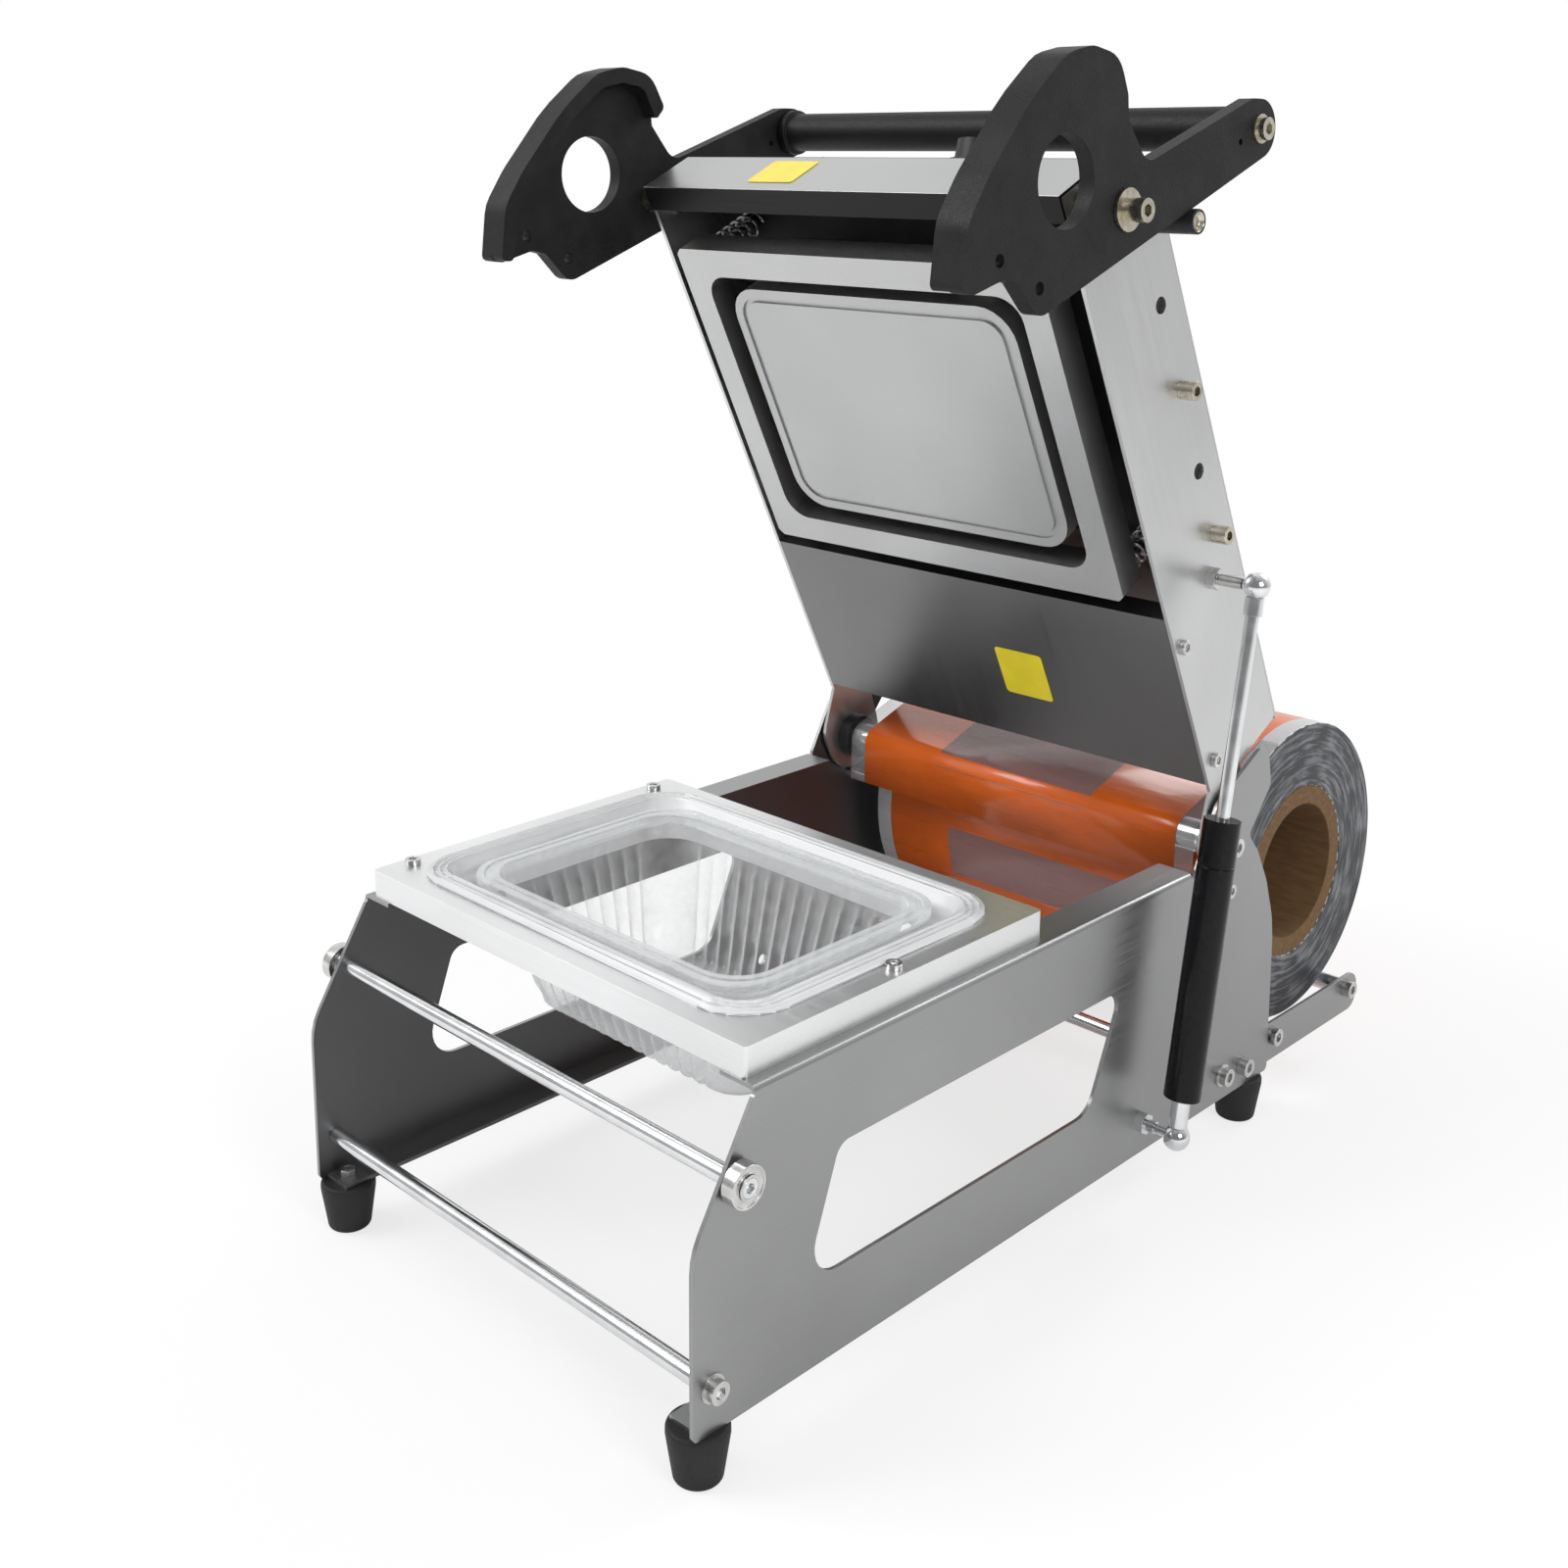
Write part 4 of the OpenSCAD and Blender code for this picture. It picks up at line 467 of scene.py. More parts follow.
@dataclass(frozen=True)
class PrintedFilm(Finish):
    """Orange film with clear margins and plain see-through windows at a steady pitch round an axis."""

    axis: Size = (0.0, 0.0, 0.0)
    radius: float = 0.084
    print_half: float = 0.107
    window_half: float = 0.062
    pitch: float = 0.12
    start: float = 0.3
    window_share: float = 0.36
    margin_colour: Colour = (0.55, 0.55, 0.56)
    window_colour: Colour = (0.30, 0.16, 0.15)
    margin_alpha: float = 1.0
    window_alpha: float = 1.0

    def dress(self, graph: FinishGraph) -> None:
        """Adds the print, the windows and faint wrinkles.

        Args:
            graph: The node graph of the finish's material.
        """
        across, back, up = graph.axes(self.axis)
        reach = graph.calc("ABSOLUTE", across)
        margin = graph.calc("GREATER_THAN", reach, self.print_half)
        angle = graph.calc("ARCTAN2", up, back)
        turned = graph.calc("MULTIPLY_ADD", angle, self.radius / self.pitch, 8 + self.start)
        along = graph.calc("FRACT", turned)
        inside = graph.calc("MULTIPLY", graph.calc("LESS_THAN", along, self.window_share),
                            graph.calc("LESS_THAN", reach, self.window_half))
        clouds = graph.noise(graph.place((0.05, 0.02, 0.02)), 3.0)
        wrinkles = graph.noise(graph.place((0.06, 0.007, 0.007)), 2.0)
        orange = graph.mix(graph.spread(clouds, 0.0, 1.0), shade(self.colour, 0.88), shade(self.colour, 1.06))
        printed = graph.mix(inside, orange, self.window_colour)
        graph.set(base_color=graph.mix(margin, printed, self.margin_colour))
        if self.margin_alpha < 1:
            see = graph.calc("MULTIPLY_ADD", margin, self.margin_alpha - 1, 1.0)
            graph.set(alpha=graph.calc("MULTIPLY_ADD", inside, self.window_alpha - 1, see))
        graph.set(coat_weight=0.35, coat_roughness=0.08)
        graph.roughen(wrinkles, -0.03, 0.06, self.roughness)
        graph.relief(wrinkles, 0.25 * MM)


@dataclass(frozen=True)
class WoundEdge(Finish):
    """End of a wound roll: fine rings with pale and dark marbling."""

    axis: Size = (0.0, 0.0, 0.0)
    dark: Colour = (0.16, 0.17, 0.2)
    ring: float = 0.5 * MM

    def dress(self, graph: FinishGraph) -> None:
        """Adds the rings and the marbling.

        Args:
            graph: The node graph of the finish's material.
        """
        distance, angle = graph.polar(self.axis)
        polar = graph.node("ShaderNodeCombineXYZ")
        graph.feed(polar.inputs[0], graph.calc("MULTIPLY", distance, 1 / (4 * self.ring)))
        graph.feed(polar.inputs[1], graph.calc("MULTIPLY", angle, 3.2))
        streaks = graph.noise(polar.outputs[0], 5.0)
        rings = graph.calc("SINE", graph.calc("MULTIPLY", distance, 2 * math.pi / self.ring))
        marble = graph.noise(graph.place((0.016,) * 3), 5.0)
        tone = graph.calc("ADD", graph.spread(streaks, -0.35, 0.6, 0.4, 0.62),
                          graph.spread(marble, -0.1, 0.5))
        graph.set(base_color=graph.mix(tone, self.dark, self.colour))
        graph.relief(graph.calc("ADD", rings, graph.calc("MULTIPLY", streaks, 4.0)), 0.06 * MM)


@dataclass(frozen=True)
class Board(Finish):
    """Brown card wound in layers, or a pressed board."""

    axis: Size = (0.0, 0.0, 0.0)
    layer: float = 1.3 * MM

    def dress(self, graph: FinishGraph) -> None:
        """Adds the layers and the fibres.

        Args:
            graph: The node graph of the finish's material.
        """
        distance, _ = graph.polar(self.axis)
        layers = graph.calc("SINE", graph.calc("MULTIPLY", distance, 2 * math.pi / self.layer))
        fibres = graph.noise(graph.place((0.012, 0.0025, 0.0025)), 5.0)
        tone = graph.calc("ADD", graph.calc("MULTIPLY", layers, 0.18), graph.spread(fibres, 0.1, 0.9))
        graph.tint(tone, self.colour, 0.72, 1.12)
        graph.relief(fibres, 0.12 * MM)


SIDE_STEEL = BrushedSheet("side_steel", (0.34, 0.342, 0.345), 0.36, Grain.LENGTHWAYS, depth=0.008 * MM)
# Painted shade: a darker copy of side_steel for the left plate's inner face, which lies in shadow
SHADED_INNER_STEEL = BrushedSheet("shaded_inner_steel", (0.15, 0.151, 0.153), 0.42, Grain.LENGTHWAYS, depth=0.006 * MM)
LID_STEEL = BrushedSheet("lid_steel", (0.62, 0.623, 0.626), 0.36, Grain.ALONG_LID, depth=0.006 * MM)
COVER_STEEL = BrushedSheet("cover_steel", (0.52, 0.523, 0.526), 0.33, Grain.ACROSS)
UNDER_STEEL = BrushedSheet("under_steel", (0.22, 0.221, 0.223), 0.33, Grain.ALONG_LID, depth=0.004 * MM)
# Painted shade: a near-black copy of the cover steel for the front cover's lip, which lies in shadow
SHADED_LIP_STEEL = BrushedSheet("shaded_lip_steel", (0.03, 0.03, 0.031), 0.45, Grain.ACROSS, depth=0.003 * MM)
MILLED = BrushedSheet("milled_plate", (0.82, 0.825, 0.83), 0.38, Grain.ACROSS, depth=0.003 * MM)
FRAME_METAL = BrushedSheet("milled_frame", (0.53, 0.533, 0.536), 0.36, Grain.ROUND, depth=0.0015 * MM)
PLATE_METAL = BrushedSheet("heating_face", (0.50, 0.503, 0.506), 0.42, Grain.ROUND, depth=0.002 * MM)
ROD_STEEL = BrightMetal("rod_steel", (0.72, 0.73, 0.74), 0.14)
SCREW_STEEL = BrightMetal("screw_steel", (0.60, 0.60, 0.59), 0.2, 0.005, 0.12)
WARM_STEEL = BrightMetal("warm_plated_steel", (0.56, 0.52, 0.43), 0.24, 0.004, 0.16)
BRONZE = BrightMetal("oxide_sheath", (0.36, 0.31, 0.25), 0.42, 0.004, 0.2)
SPRING_WIRE = BrightMetal("spring_wire", (0.78, 0.78, 0.79), 0.25, 0.004, 0.1)
LEVER_BLACK = Grained("lever_black", (0.011, 0.011, 0.0115), 0.5, 0.8 * MM, 0.1 * MM, mottle=0.25, gloss=0.2)
SHEET_BLACK = Grained("sheet_black", (0.016, 0.016, 0.018), 0.42, 0.5 * MM, 0.02 * MM, gloss=0.3)
PLASTIC_BLACK = Grained("plastic_black", (0.014, 0.014, 0.015), 0.42, 0.4 * MM, 0.02 * MM, gloss=0.35)
GRIP_BLACK = Grained("grip_black", (0.007, 0.007, 0.008), 0.5, 0.9 * MM, 0.06 * MM, gloss=0.25)
FOOT_RUBBER = Grained("foot_rubber", (0.012, 0.012, 0.012), 0.6, 0.7 * MM, 0.05 * MM, gloss=0.35)
TUBE_BLACK = Grained("tube_black", (0.003, 0.003, 0.004), 0.2, 3 * MM, 0.01 * MM, gloss=0.22)
SWITCH_RED = Grained("switch_red", (0.55, 0.03, 0.02), 0.25, 0.6 * MM, 0.01 * MM, coat=0.4)
CASE_CREAM = Grained("case_cream", (0.72, 0.70, 0.62), 0.5, 0.8 * MM, 0.03 * MM)
MARK_WHITE = Grained("mark_white", (0.86, 0.86, 0.84), 0.5, 0.5 * MM, 0.01 * MM)
PATCH_YELLOW = Grained("patch_yellow", (0.83, 0.68, 0.02), 0.35, 0.7 * MM, 0.01 * MM, mottle=0.05, coat=0.3)
RING_WHITE = MilkyPlastic("ring_white", (0.90, 0.91, 0.92), 0.34, 0.2)
TRAY_CLEAR = ClearSheet("tray_clear", (0.82, 0.84, 0.85), 0.1, 0.08, 0.62)
ROLL_PRINT = PrintedFilm("roll_print", (0.72, 0.13, 0.014), 0.28, tuple(ROLL_AXIS))
WEB_PRINT = PrintedFilm("web_print", (0.72, 0.13, 0.014), 0.24, (ROLL_AXIS.x, HINGE.y, HINGE.z), 0.0093,
                        window_half=0.052, pitch=0.05, start=0.935, margin_alpha=0.25, window_alpha=0.75)
ROLL_END = WoundEdge("roll_end", (0.20, 0.205, 0.22), 0.45, tuple(ROLL_AXIS), (0.015, 0.018, 0.024))
# Brown card darkened below its own colour: partly the card, partly painted shade for the inside of the core
CORE_CARD_AND_SHADE = Board("core_card_and_shade", (0.15, 0.08, 0.03), 0.85, tuple(ROLL_AXIS))
MICA = Board("mica_board", (0.74, 0.71, 0.6), 0.7, tuple(HINGE))


def cad_copy(node: str) -> Shape:
    """Copies a CAD node's mesh, with its doubles merged and, for most nodes, its flat faces made whole.

    Args:
        node: The CAD node.

    Returns:
        A bmesh in the machine's frame.
    """
    bm = bmesh.new()
    bm.from_mesh(frame["nodes"][node].data)
    bmesh.ops.remove_doubles(bm, verts=bm.verts, dist=DOUBLES)
    if node in IN_TRIANGLES:
        return bm
    whole = bm.copy()
    bmesh.ops.dissolve_limit(whole, angle_limit=FLAT_TURN, verts=whole.verts, edges=whole.edges,
                             use_dissolve_boundaries=False)
    if abs(skin_area(whole) - skin_area(bm)) > AREA_SLACK * skin_area(bm):
        whole.free()
        return bm
    bm.free()
    return whole


def skin_area(bm: Shape) -> float:
    """Adds up the triangles that a mesh is drawn with."""
    return sum(area_tri(*(corner.vert.co for corner in corners)) for corners in bm.calc_loop_triangles())


def make_piece(bm: Shape, name: str, body: str, finishes: Sequence[Finish],
               edge: float = 0.0, segments: int = 2) -> bpy.types.Object:
    """Turns a bmesh into a finished piece that rides on a body.

    Args:
        bm: The shape, in the machine's frame. It is freed.
        name: The piece's name.
        body: The CAD body that it moves with.
        finishes: One finish for each material number of the faces.
        edge: Width of the rounding on its edges.
        segments: Steps in that rounding.

    Returns:
        The new object.
    """
    mesh = bpy.data.meshes.new(name)
    bm.to_mesh(mesh)
    bm.free()
    for finish in finishes:
        mesh.materials.append(finish.material())
    mesh.shade_smooth()
    piece = bpy.data.objects.new(name, mesh)
    bpy.context.scene.collection.objects.link(piece)
    if edge > 0:
        rounding = piece.modifiers.new("rounded_edges", "BEVEL")
        rounding.width = edge
        rounding.segments = segments
        rounding.limit_method = "ANGLE"
        rounding.angle_limit = CORNER_TURN
        rounding.miter_outer = "MITER_ARC"
        shading = piece.modifiers.new("flat_faces", "WEIGHTED_NORMAL")
        shading.weight = 100
        shading.keep_sharp = True
    else:
        mesh.set_sharp_from_angle(angle=CORNER_TURN)
    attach(piece, body)
    log.info("%s rides on %s", name, body)
    return piece


def stand_in(bm: Shape, name: str, node: str, finishes: Sequence[Finish],
             edge: float = 0.0, segments: int = 2) -> bpy.types.Object:
    """Stands a piece in the place of a CAD node, on its body, as make_piece makes it.

    Args:
        bm: The shape, in the machine's frame. It is freed.
        name: The piece's name.
        node: The CAD node.
        finishes: One finish for each material number of the faces.
        edge: Width of the rounding on its edges.
        segments: Steps in that rounding.

    Returns:
        The new object.
    """
    piece = make_piece(bm, name, BODY_OF[node], finishes, edge, segments)
    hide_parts(node)
    return piece


def soften(node: str, finish: Finish, edge: float = 0.3 * MM, segments: int = 2) -> bpy.types.Object:
    """Stands a copy with rounded edges in the place of a CAD node.

    Args:
        node: The CAD node.
        finish: The copy's finish.
        edge: Width of the rounding.
        segments: Steps in that rounding.

    Returns:
        The new object.
    """
    return stand_in(cad_copy(node), f"{node}_dressed", node, [finish], edge, segments)


def soften_all(finish: Finish, edge: float, *nodes: str) -> None:
    """Stands copies of one finish in the places of some CAD nodes."""
    for node in nodes:
        soften(node, finish, edge)


def two_tone(node: str, finishes: Sequence[Finish], is_second: Callable[[Vector], bool],
             edge: float) -> bpy.types.Object:
    """Stands a copy with rounded edges and two finishes in the place of a CAD node.

    Args:
        node: The CAD node.
        finishes: The first finish and the second.
        is_second: Says of a face's normal whether the face has the second finish.
        edge: Width of the rounding.

    Returns:
        The new object.
    """
    bm = cad_copy(node)
    for face in bm.faces:
        face.material_index = int(is_second(face.normal))
    return stand_in(bm, f"{node}_dressed", node, finishes, edge)


def carry_over(node: str, finish: Finish) -> None:
    """Gives a CAD node that stays as it is its finish.

    Args:
        node: The CAD node.
        finish: Its finish.
    """
    node_object = frame["nodes"][node]
    node_object.data.materials.clear()
    node_object.data.materials.append(finish.material())
    log.info("%s keeps its CAD shape", node)


def new_verts(result: dict) -> list[bmesh.types.BMVert]:
    """Gives the vertices that a bmesh operator made."""
    return [part for part in result["geom"] if isinstance(part, bmesh.types.BMVert)]


def spun_ring(inner: float, outer: float, start: float, end: float, axis: Vector,
              steps: int = 128) -> Shape:
    """Spins a rectangle about an axis along X into a thick ring.

    Args:
        inner: Inner radius.
        outer: Outer radius.
        start: Where the ring starts in X.
        end: Where it ends.
        axis: A point on its axis.
        steps: Steps round the ring.

    Returns:
        The ring, closed, with its faces outwards.
    """
    bm = bmesh.new()
    corners = [bm.verts.new((x, axis.y + radius, axis.z))
               for x, radius in ((start, inner), (start, outer), (end, outer), (end, inner))]
    edges = [bm.edges.new((corners[i], corners[(i + 1) % 4])) for i in range(4)]
    bmesh.ops.spin(bm, geom=corners + edges, cent=axis, axis=(1, 0, 0), angle=2 * math.pi,
                   steps=steps, use_merge=True)
    bmesh.ops.remove_doubles(bm, verts=bm.verts, dist=0.001 * MM)
    bmesh.ops.recalc_face_normals(bm, faces=bm.faces)
    return bm


def rounded_plate(bm: Shape, width: float, length: float, radius: float,
                  steps: int) -> list[bmesh.types.BMVert]:
    """Makes one flat face with rounded corners about the origin and returns its vertices.

    Args:
        bm: The bmesh that the face goes into.
        width: Its width in X.
        length: Its length in Y.
        radius: Radius of its corners.
        steps: Steps in each corner.

    Returns:
        Its vertices.
    """
    made = bmesh.ops.create_grid(bm, x_segments=1, y_segments=1, size=1.0)["verts"]
    for vert in made:
        vert.co = (math.copysign(width / 2, vert.co.x), math.copysign(length / 2, vert.co.y), 0.0)
    bmesh.ops.bevel(bm, geom=made, offset=radius, offset_type="OFFSET", segments=steps, profile=0.5,
                    affect="VERTICES", material=-1)
    return list(bm.verts)


@dataclass
class BaseStand:
    """The two bent side plates with their rods, feet and screws."""

    plate_edge: float = 0.35 * MM
    rod_edge: float = 0.5 * MM
    foot_edge: float = 1.1 * MM
    screw_edge: float = 0.35 * MM

    def build(self) -> None:
        """Builds the stand."""
        soften("right_side_plate", SIDE_STEEL, self.plate_edge)
        # The left plate's inner face gets the darker copy of its steel as painted shade
        two_tone("left_side_plate", (SIDE_STEEL, SHADED_INNER_STEEL), lambda normal: normal.x > FACING,
                 self.plate_edge)
        soften_all(ROD_STEEL, self.rod_edge, "lower_front_rod", "upper_front_rod", "rear_tie_rod",
                   "film_guide_rod")
        soften("rubber_feet", FOOT_RUBBER, self.foot_edge, 3)
        soften_all(SCREW_STEEL, self.screw_edge, "base_screws", "foot_screws", "right_cam_bearing",
                   "left_cam_bearing")


@dataclass(frozen=True)
class TrayRing:
    """One ring of the tray's skin: its width, length and drop in millimetres, and its rib and bulge."""

    width: float
    length: float
    drop: float
    rib: float = 0.0
    bulge: float = 0.0


def tray_rings(*sizes: Sequence[float]) -> tuple[TrayRing, ...]:
    """Makes rings from their numbers, in the order of TrayRing's fields."""
    return tuple(TrayRing(*numbers) for numbers in sizes)


@dataclass
class ClearTray:
    """The thin tray, with a stepped rim, ribbed walls, a dimpled foot and a raised middle."""

    corner: float = 22 * MM
    corner_steps: int = 7
    long_ribs: int = 13
    short_ribs: int = 8
    cuts_a_rib: int = 8
    rib_depth: float = 1.1 * MM
    bulge_depth: float = 1.7 * MM
    wall: float = 0.45 * MM
    rim: tuple[TrayRing, ...] = tray_rings(
        (189, 136, 5.2), (189, 136, 1.0), (188.4, 135.4, 0.3), (187, 134, 0), (183.5, 130.5, 0),
        (182.5, 129.5, 0.9), (178.5, 125.5, 0.9), (177.5, 124.5, 0), (173, 120, 0), (171.8, 118.8, 0.5),
        (171.2, 118.2, 1.6), (170.6, 117.4, 7), (168.8, 115.6, 8.4))
    wall_top: TrayRing = TrayRing(168.2, 115, 10)
    wall_foot: TrayRing = TrayRing(143.5, 90.5, 60)
    wall_steps: int = 16
    rib_run_out: float = 1 / 6
    bulge_from: float = 11 / 16
    foot: tuple[TrayRing, ...] = tray_rings(
        (141.5, 88.5, 63.5, 1, 0.3), (138, 85, 65.6, 1), (133, 80, 66.6, 1), (126, 73, 67, 1),
        (108, 60, 67, 1), (96, 52, 67), (50, 34, 67), (38, 26, 66.2), (31, 21, 61), (22, 15, 55),
        (13, 9, 51.5), (6, 4, 50.4))

    def rings(self) -> list[TrayRing]:
        """Lists the rings from the rim's edge to the raised middle.

        Returns:
            The rings.
        """
        top, foot = self.wall_top, self.wall_foot
        walls = []
        for step in range(self.wall_steps + 1):
            share = step / self.wall_steps
            wave = math.sin(math.pi * max(0.0, share - self.bulge_from) / (1 - self.bulge_from))
            walls.append(TrayRing(top.width + (foot.width - top.width) * share,
                                  top.length + (foot.length - top.length) * share,
                                  top.drop + (foot.drop - top.drop) * share,
                                  min(1.0, share / self.rib_run_out), wave))
        return [*self.rim, *walls, *self.foot]

    def build(self) -> bpy.types.Object:
        """Builds the tray.

        Returns:
            The tray.
        """
        low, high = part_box("tray")
        middle = (low + high) / 2
        rings = self.rings()
        bm = bmesh.new()
        first = rings[0]
        rounded_plate(bm, first.width * MM, first.length * MM, self.corner, self.corner_steps)
        bmesh.ops.delete(bm, geom=list(bm.faces), context="FACES_KEEP_BOUNDARY")
        long_side = (first.width * MM - 2 * self.corner) * 0.98
        short_side = (first.length * MM - 2 * self.corner) * 0.98
        for side, ribs in ((long_side, self.long_ribs), (short_side, self.short_ribs)):
            straight = [edge for edge in bm.edges if abs(edge.calc_length() - side) < side * 0.04]
            bmesh.ops.subdivide_edges(bm, edges=straight, cuts=ribs * self.cuts_a_rib - 1)
        self._mark_ribs(bm)
        edges = list(bm.edges)
        for ring in rings[1:]:
            edges = self._next_ring(bm, edges, ring, first)
        bmesh.ops.holes_fill(bm, edges=edges, sides=0)
        self._press_ribs(bm, first)
        bmesh.ops.recalc_face_normals(bm, faces=bm.faces)
        bmesh.ops.translate(bm, vec=(middle.x, middle.y, high.z - 0.2 * MM), verts=bm.verts)
        tray = stand_in(bm, "clear_tray", "tray", [TRAY_CLEAR])
        wall = tray.modifiers.new("wall", "SOLIDIFY")
        wall.thickness = self.wall
        wall.offset = 0.0
        return tray

    def _mark_ribs(self, bm: Shape) -> None:
        """Keeps on each vertex of the first ring where it lies in a rib, and which way its wall faces.

        Args:
            bm: The tray, with only its first ring.
        """
        phase = bm.verts.layers.float.new("phase")
        out_x = bm.verts.layers.float.new("out_x")
        out_y = bm.verts.layers.float.new("out_y")
        half_x = max(vert.co.x for vert in bm.verts)
        half_y = max(vert.co.y for vert in bm.verts)
        run_x, run_y = half_x - self.corner, half_y - self.corner
        for vert in bm.verts:
            x, y = vert.co.x, vert.co.y
            if abs(x) <= run_x:
                vert[phase] = (x + run_x) / (2 * run_x) * self.long_ribs
                vert[out_y] = math.copysign(1.0, y)
            elif abs(y) <= run_y:
                vert[phase] = (y + run_y) / (2 * run_y) * self.short_ribs
                vert[out_x] = math.copysign(1.0, x)
            else:
                outward = Vector((abs(x) - run_x, abs(y) - run_y)).normalized()
                vert[out_x] = math.copysign(outward.x, x)
                vert[out_y] = math.copysign(outward.y, y)

    def _next_ring(self, bm: Shape, edges: list, ring: TrayRing, first: TrayRing) -> list:
        """Extrudes the last ring's edges to the next ring and returns the new edges.

        Args:
            bm: The tray.
            edges: The last ring's edges.
            ring: The ring to make.
            first: The rim's first ring.

        Returns:
            The new ring's edges.
        """
        made = bmesh.ops.extrude_edge_only(bm, edges=edges)
        verts = set(new_verts(made))
        half = Vector((max(vert.co.x for vert in verts), max(vert.co.y for vert in verts)))
        for vert in verts:
            vert.co.x *= ring.width * MM / 2 / half.x
            vert.co.y *= ring.length * MM / 2 / half.y
            vert.co.z = (first.drop - ring.drop) * MM
        return [part for part in made["geom"]
                if isinstance(part, bmesh.types.BMEdge) and all(vert in verts for vert in part.verts)]

    def _press_ribs(self, bm: Shape, first: TrayRing) -> None:
        """Presses the ribs in and the dimples out, and sets the rim's top at zero.

        Args:
            bm: The tray.
            first: The rim's first ring.
        """
        phase = bm.verts.layers.float["phase"]
        out_x = bm.verts.layers.float["out_x"]
        out_y = bm.verts.layers.float["out_y"]
        by_drop = {round(ring.drop, 3): ring for ring in self.rings()}
        for vert in bm.verts:
            vert.co.z -= first.drop * MM
            ring = by_drop.get(round(-vert.co.z / MM, 3))
            if ring is None or (ring.rib == 0 and ring.bulge == 0):
                continue
            outward = Vector((vert[out_x], vert[out_y], 0.0))
            wave = 0.5 - 0.5 * math.cos(2 * math.pi * vert[phase])
            if ring.drop < self.foot[0].drop + 1:
                vert.co -= outward * self.rib_depth * ring.rib * wave ** 3
                vert.co += outward * self.bulge_depth * ring.bulge * (1 - wave)
            else:
                vert.co.z += self.rib_depth * ring.rib * wave ** 3


@dataclass
class MouldStation:
    """The mould plate with its seat ring, its screws and the tray in it."""

    plate_edge: float = 0.7 * MM

    def build(self) -> None:
        """Builds the station."""
        soften("mould_plate", MILLED, self.plate_edge, 3)
        soften("seat_ring", RING_WHITE, 0.0)
        soften("mould_screws", SCREW_STEEL, 0.3 * MM)
        ClearTray().build()


@dataclass
class FilmPath:
    """The roll on its card core, the roller and the film that runs over it."""

    roll_edge: float = 0.8 * MM
    arc_steps: int = 20
    film: float = 0.25 * MM
    gap: float = 0.25 * MM

    def build(self) -> None:
        """Builds the roll, the web, the roller, the hinge parts and the cradle."""
        self._roll()
        self._web()
        soften("film_roller", ROD_STEEL, 0.4 * MM)
        soften_all(PLASTIC_BLACK, 0.5 * MM, "hinge_bushes", "roller_bushes")
        carry_over("hinge_shaft", ROD_STEEL)
        soften("cradle_plates", SIDE_STEEL, 0.35 * MM)
        soften("cradle_rods", ROD_STEEL, 0.4 * MM)
        soften("cradle_screws", SCREW_STEEL, 0.35 * MM)

    def _roll(self) -> None:
        """Spins the winding and its core."""
        low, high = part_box("film_winding")
        core_low, core_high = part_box("film_core")
        outer = (high.z - low.z) / 2 - 0.15 * MM
        core = (core_high.z - core_low.z) / 2
        bm = spun_ring(core, outer, low.x, high.x, ROLL_AXIS)
        for face in bm.faces:
            face.material_index = int(abs(face.normal.x) > FACING)
        stand_in(bm, "wound_film_roll", "film_winding", [ROLL_PRINT, ROLL_END], self.roll_edge, 3)
        # The core's card is darker than plain card, as painted shade inside the core
        soften("film_core", CORE_CARD_AND_SHADE, 0.5 * MM)

    def _web(self) -> None:
        """Lays the film from the roll over the roller and down in front of it."""
        low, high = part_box("film_web")
        winding_low, winding_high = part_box("film_winding")
        roller_low, roller_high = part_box("film_roller")
        near = (roller_high.z - roller_low.z) / 2 + self.gap
        far = (winding_high.z - winding_low.z) / 2 + self.gap
        reach = Vector((ROLL_AXIS.y - HINGE.y, ROLL_AXIS.z - HINGE.z))
        angle = math.atan2(reach.y, reach.x) + math.acos((near - far) / reach.length)
        out = Vector((0.0, math.cos(angle), math.sin(angle)))
        bm = bmesh.new()
        roll_end = bm.verts.new(Vector((low.x, ROLL_AXIS.y, ROLL_AXIS.z)) + far * out)
        roller_end = bm.verts.new(Vector((low.x, HINGE.y, HINGE.z)) + near * out)
        bm.edges.new((roll_end, roller_end))
        turned = bmesh.ops.spin(bm, geom=[roller_end], cent=HINGE, axis=(1, 0, 0),
                                angle=math.pi - angle, steps=self.arc_steps)
        last = [part for part in turned["geom_last"] if isinstance(part, bmesh.types.BMVert)]
        hung = bmesh.ops.extrude_vert_indiv(bm, verts=last)
        bmesh.ops.translate(bm, vec=(0, 0, low.z - HINGE.z + 0.2 * MM), verts=hung["verts"])
        made = bmesh.ops.extrude_edge_only(bm, edges=list(bm.edges))
        bmesh.ops.translate(bm, vec=(high.x - low.x, 0, 0), verts=new_verts(made))
        bmesh.ops.recalc_face_normals(bm, faces=bm.faces)
        web = stand_in(bm, "film_over_roller", "film_web", [WEB_PRINT])
        sheet = web.modifiers.new("film", "SOLIDIFY")
        sheet.thickness = self.film
        sheet.offset = 0.0


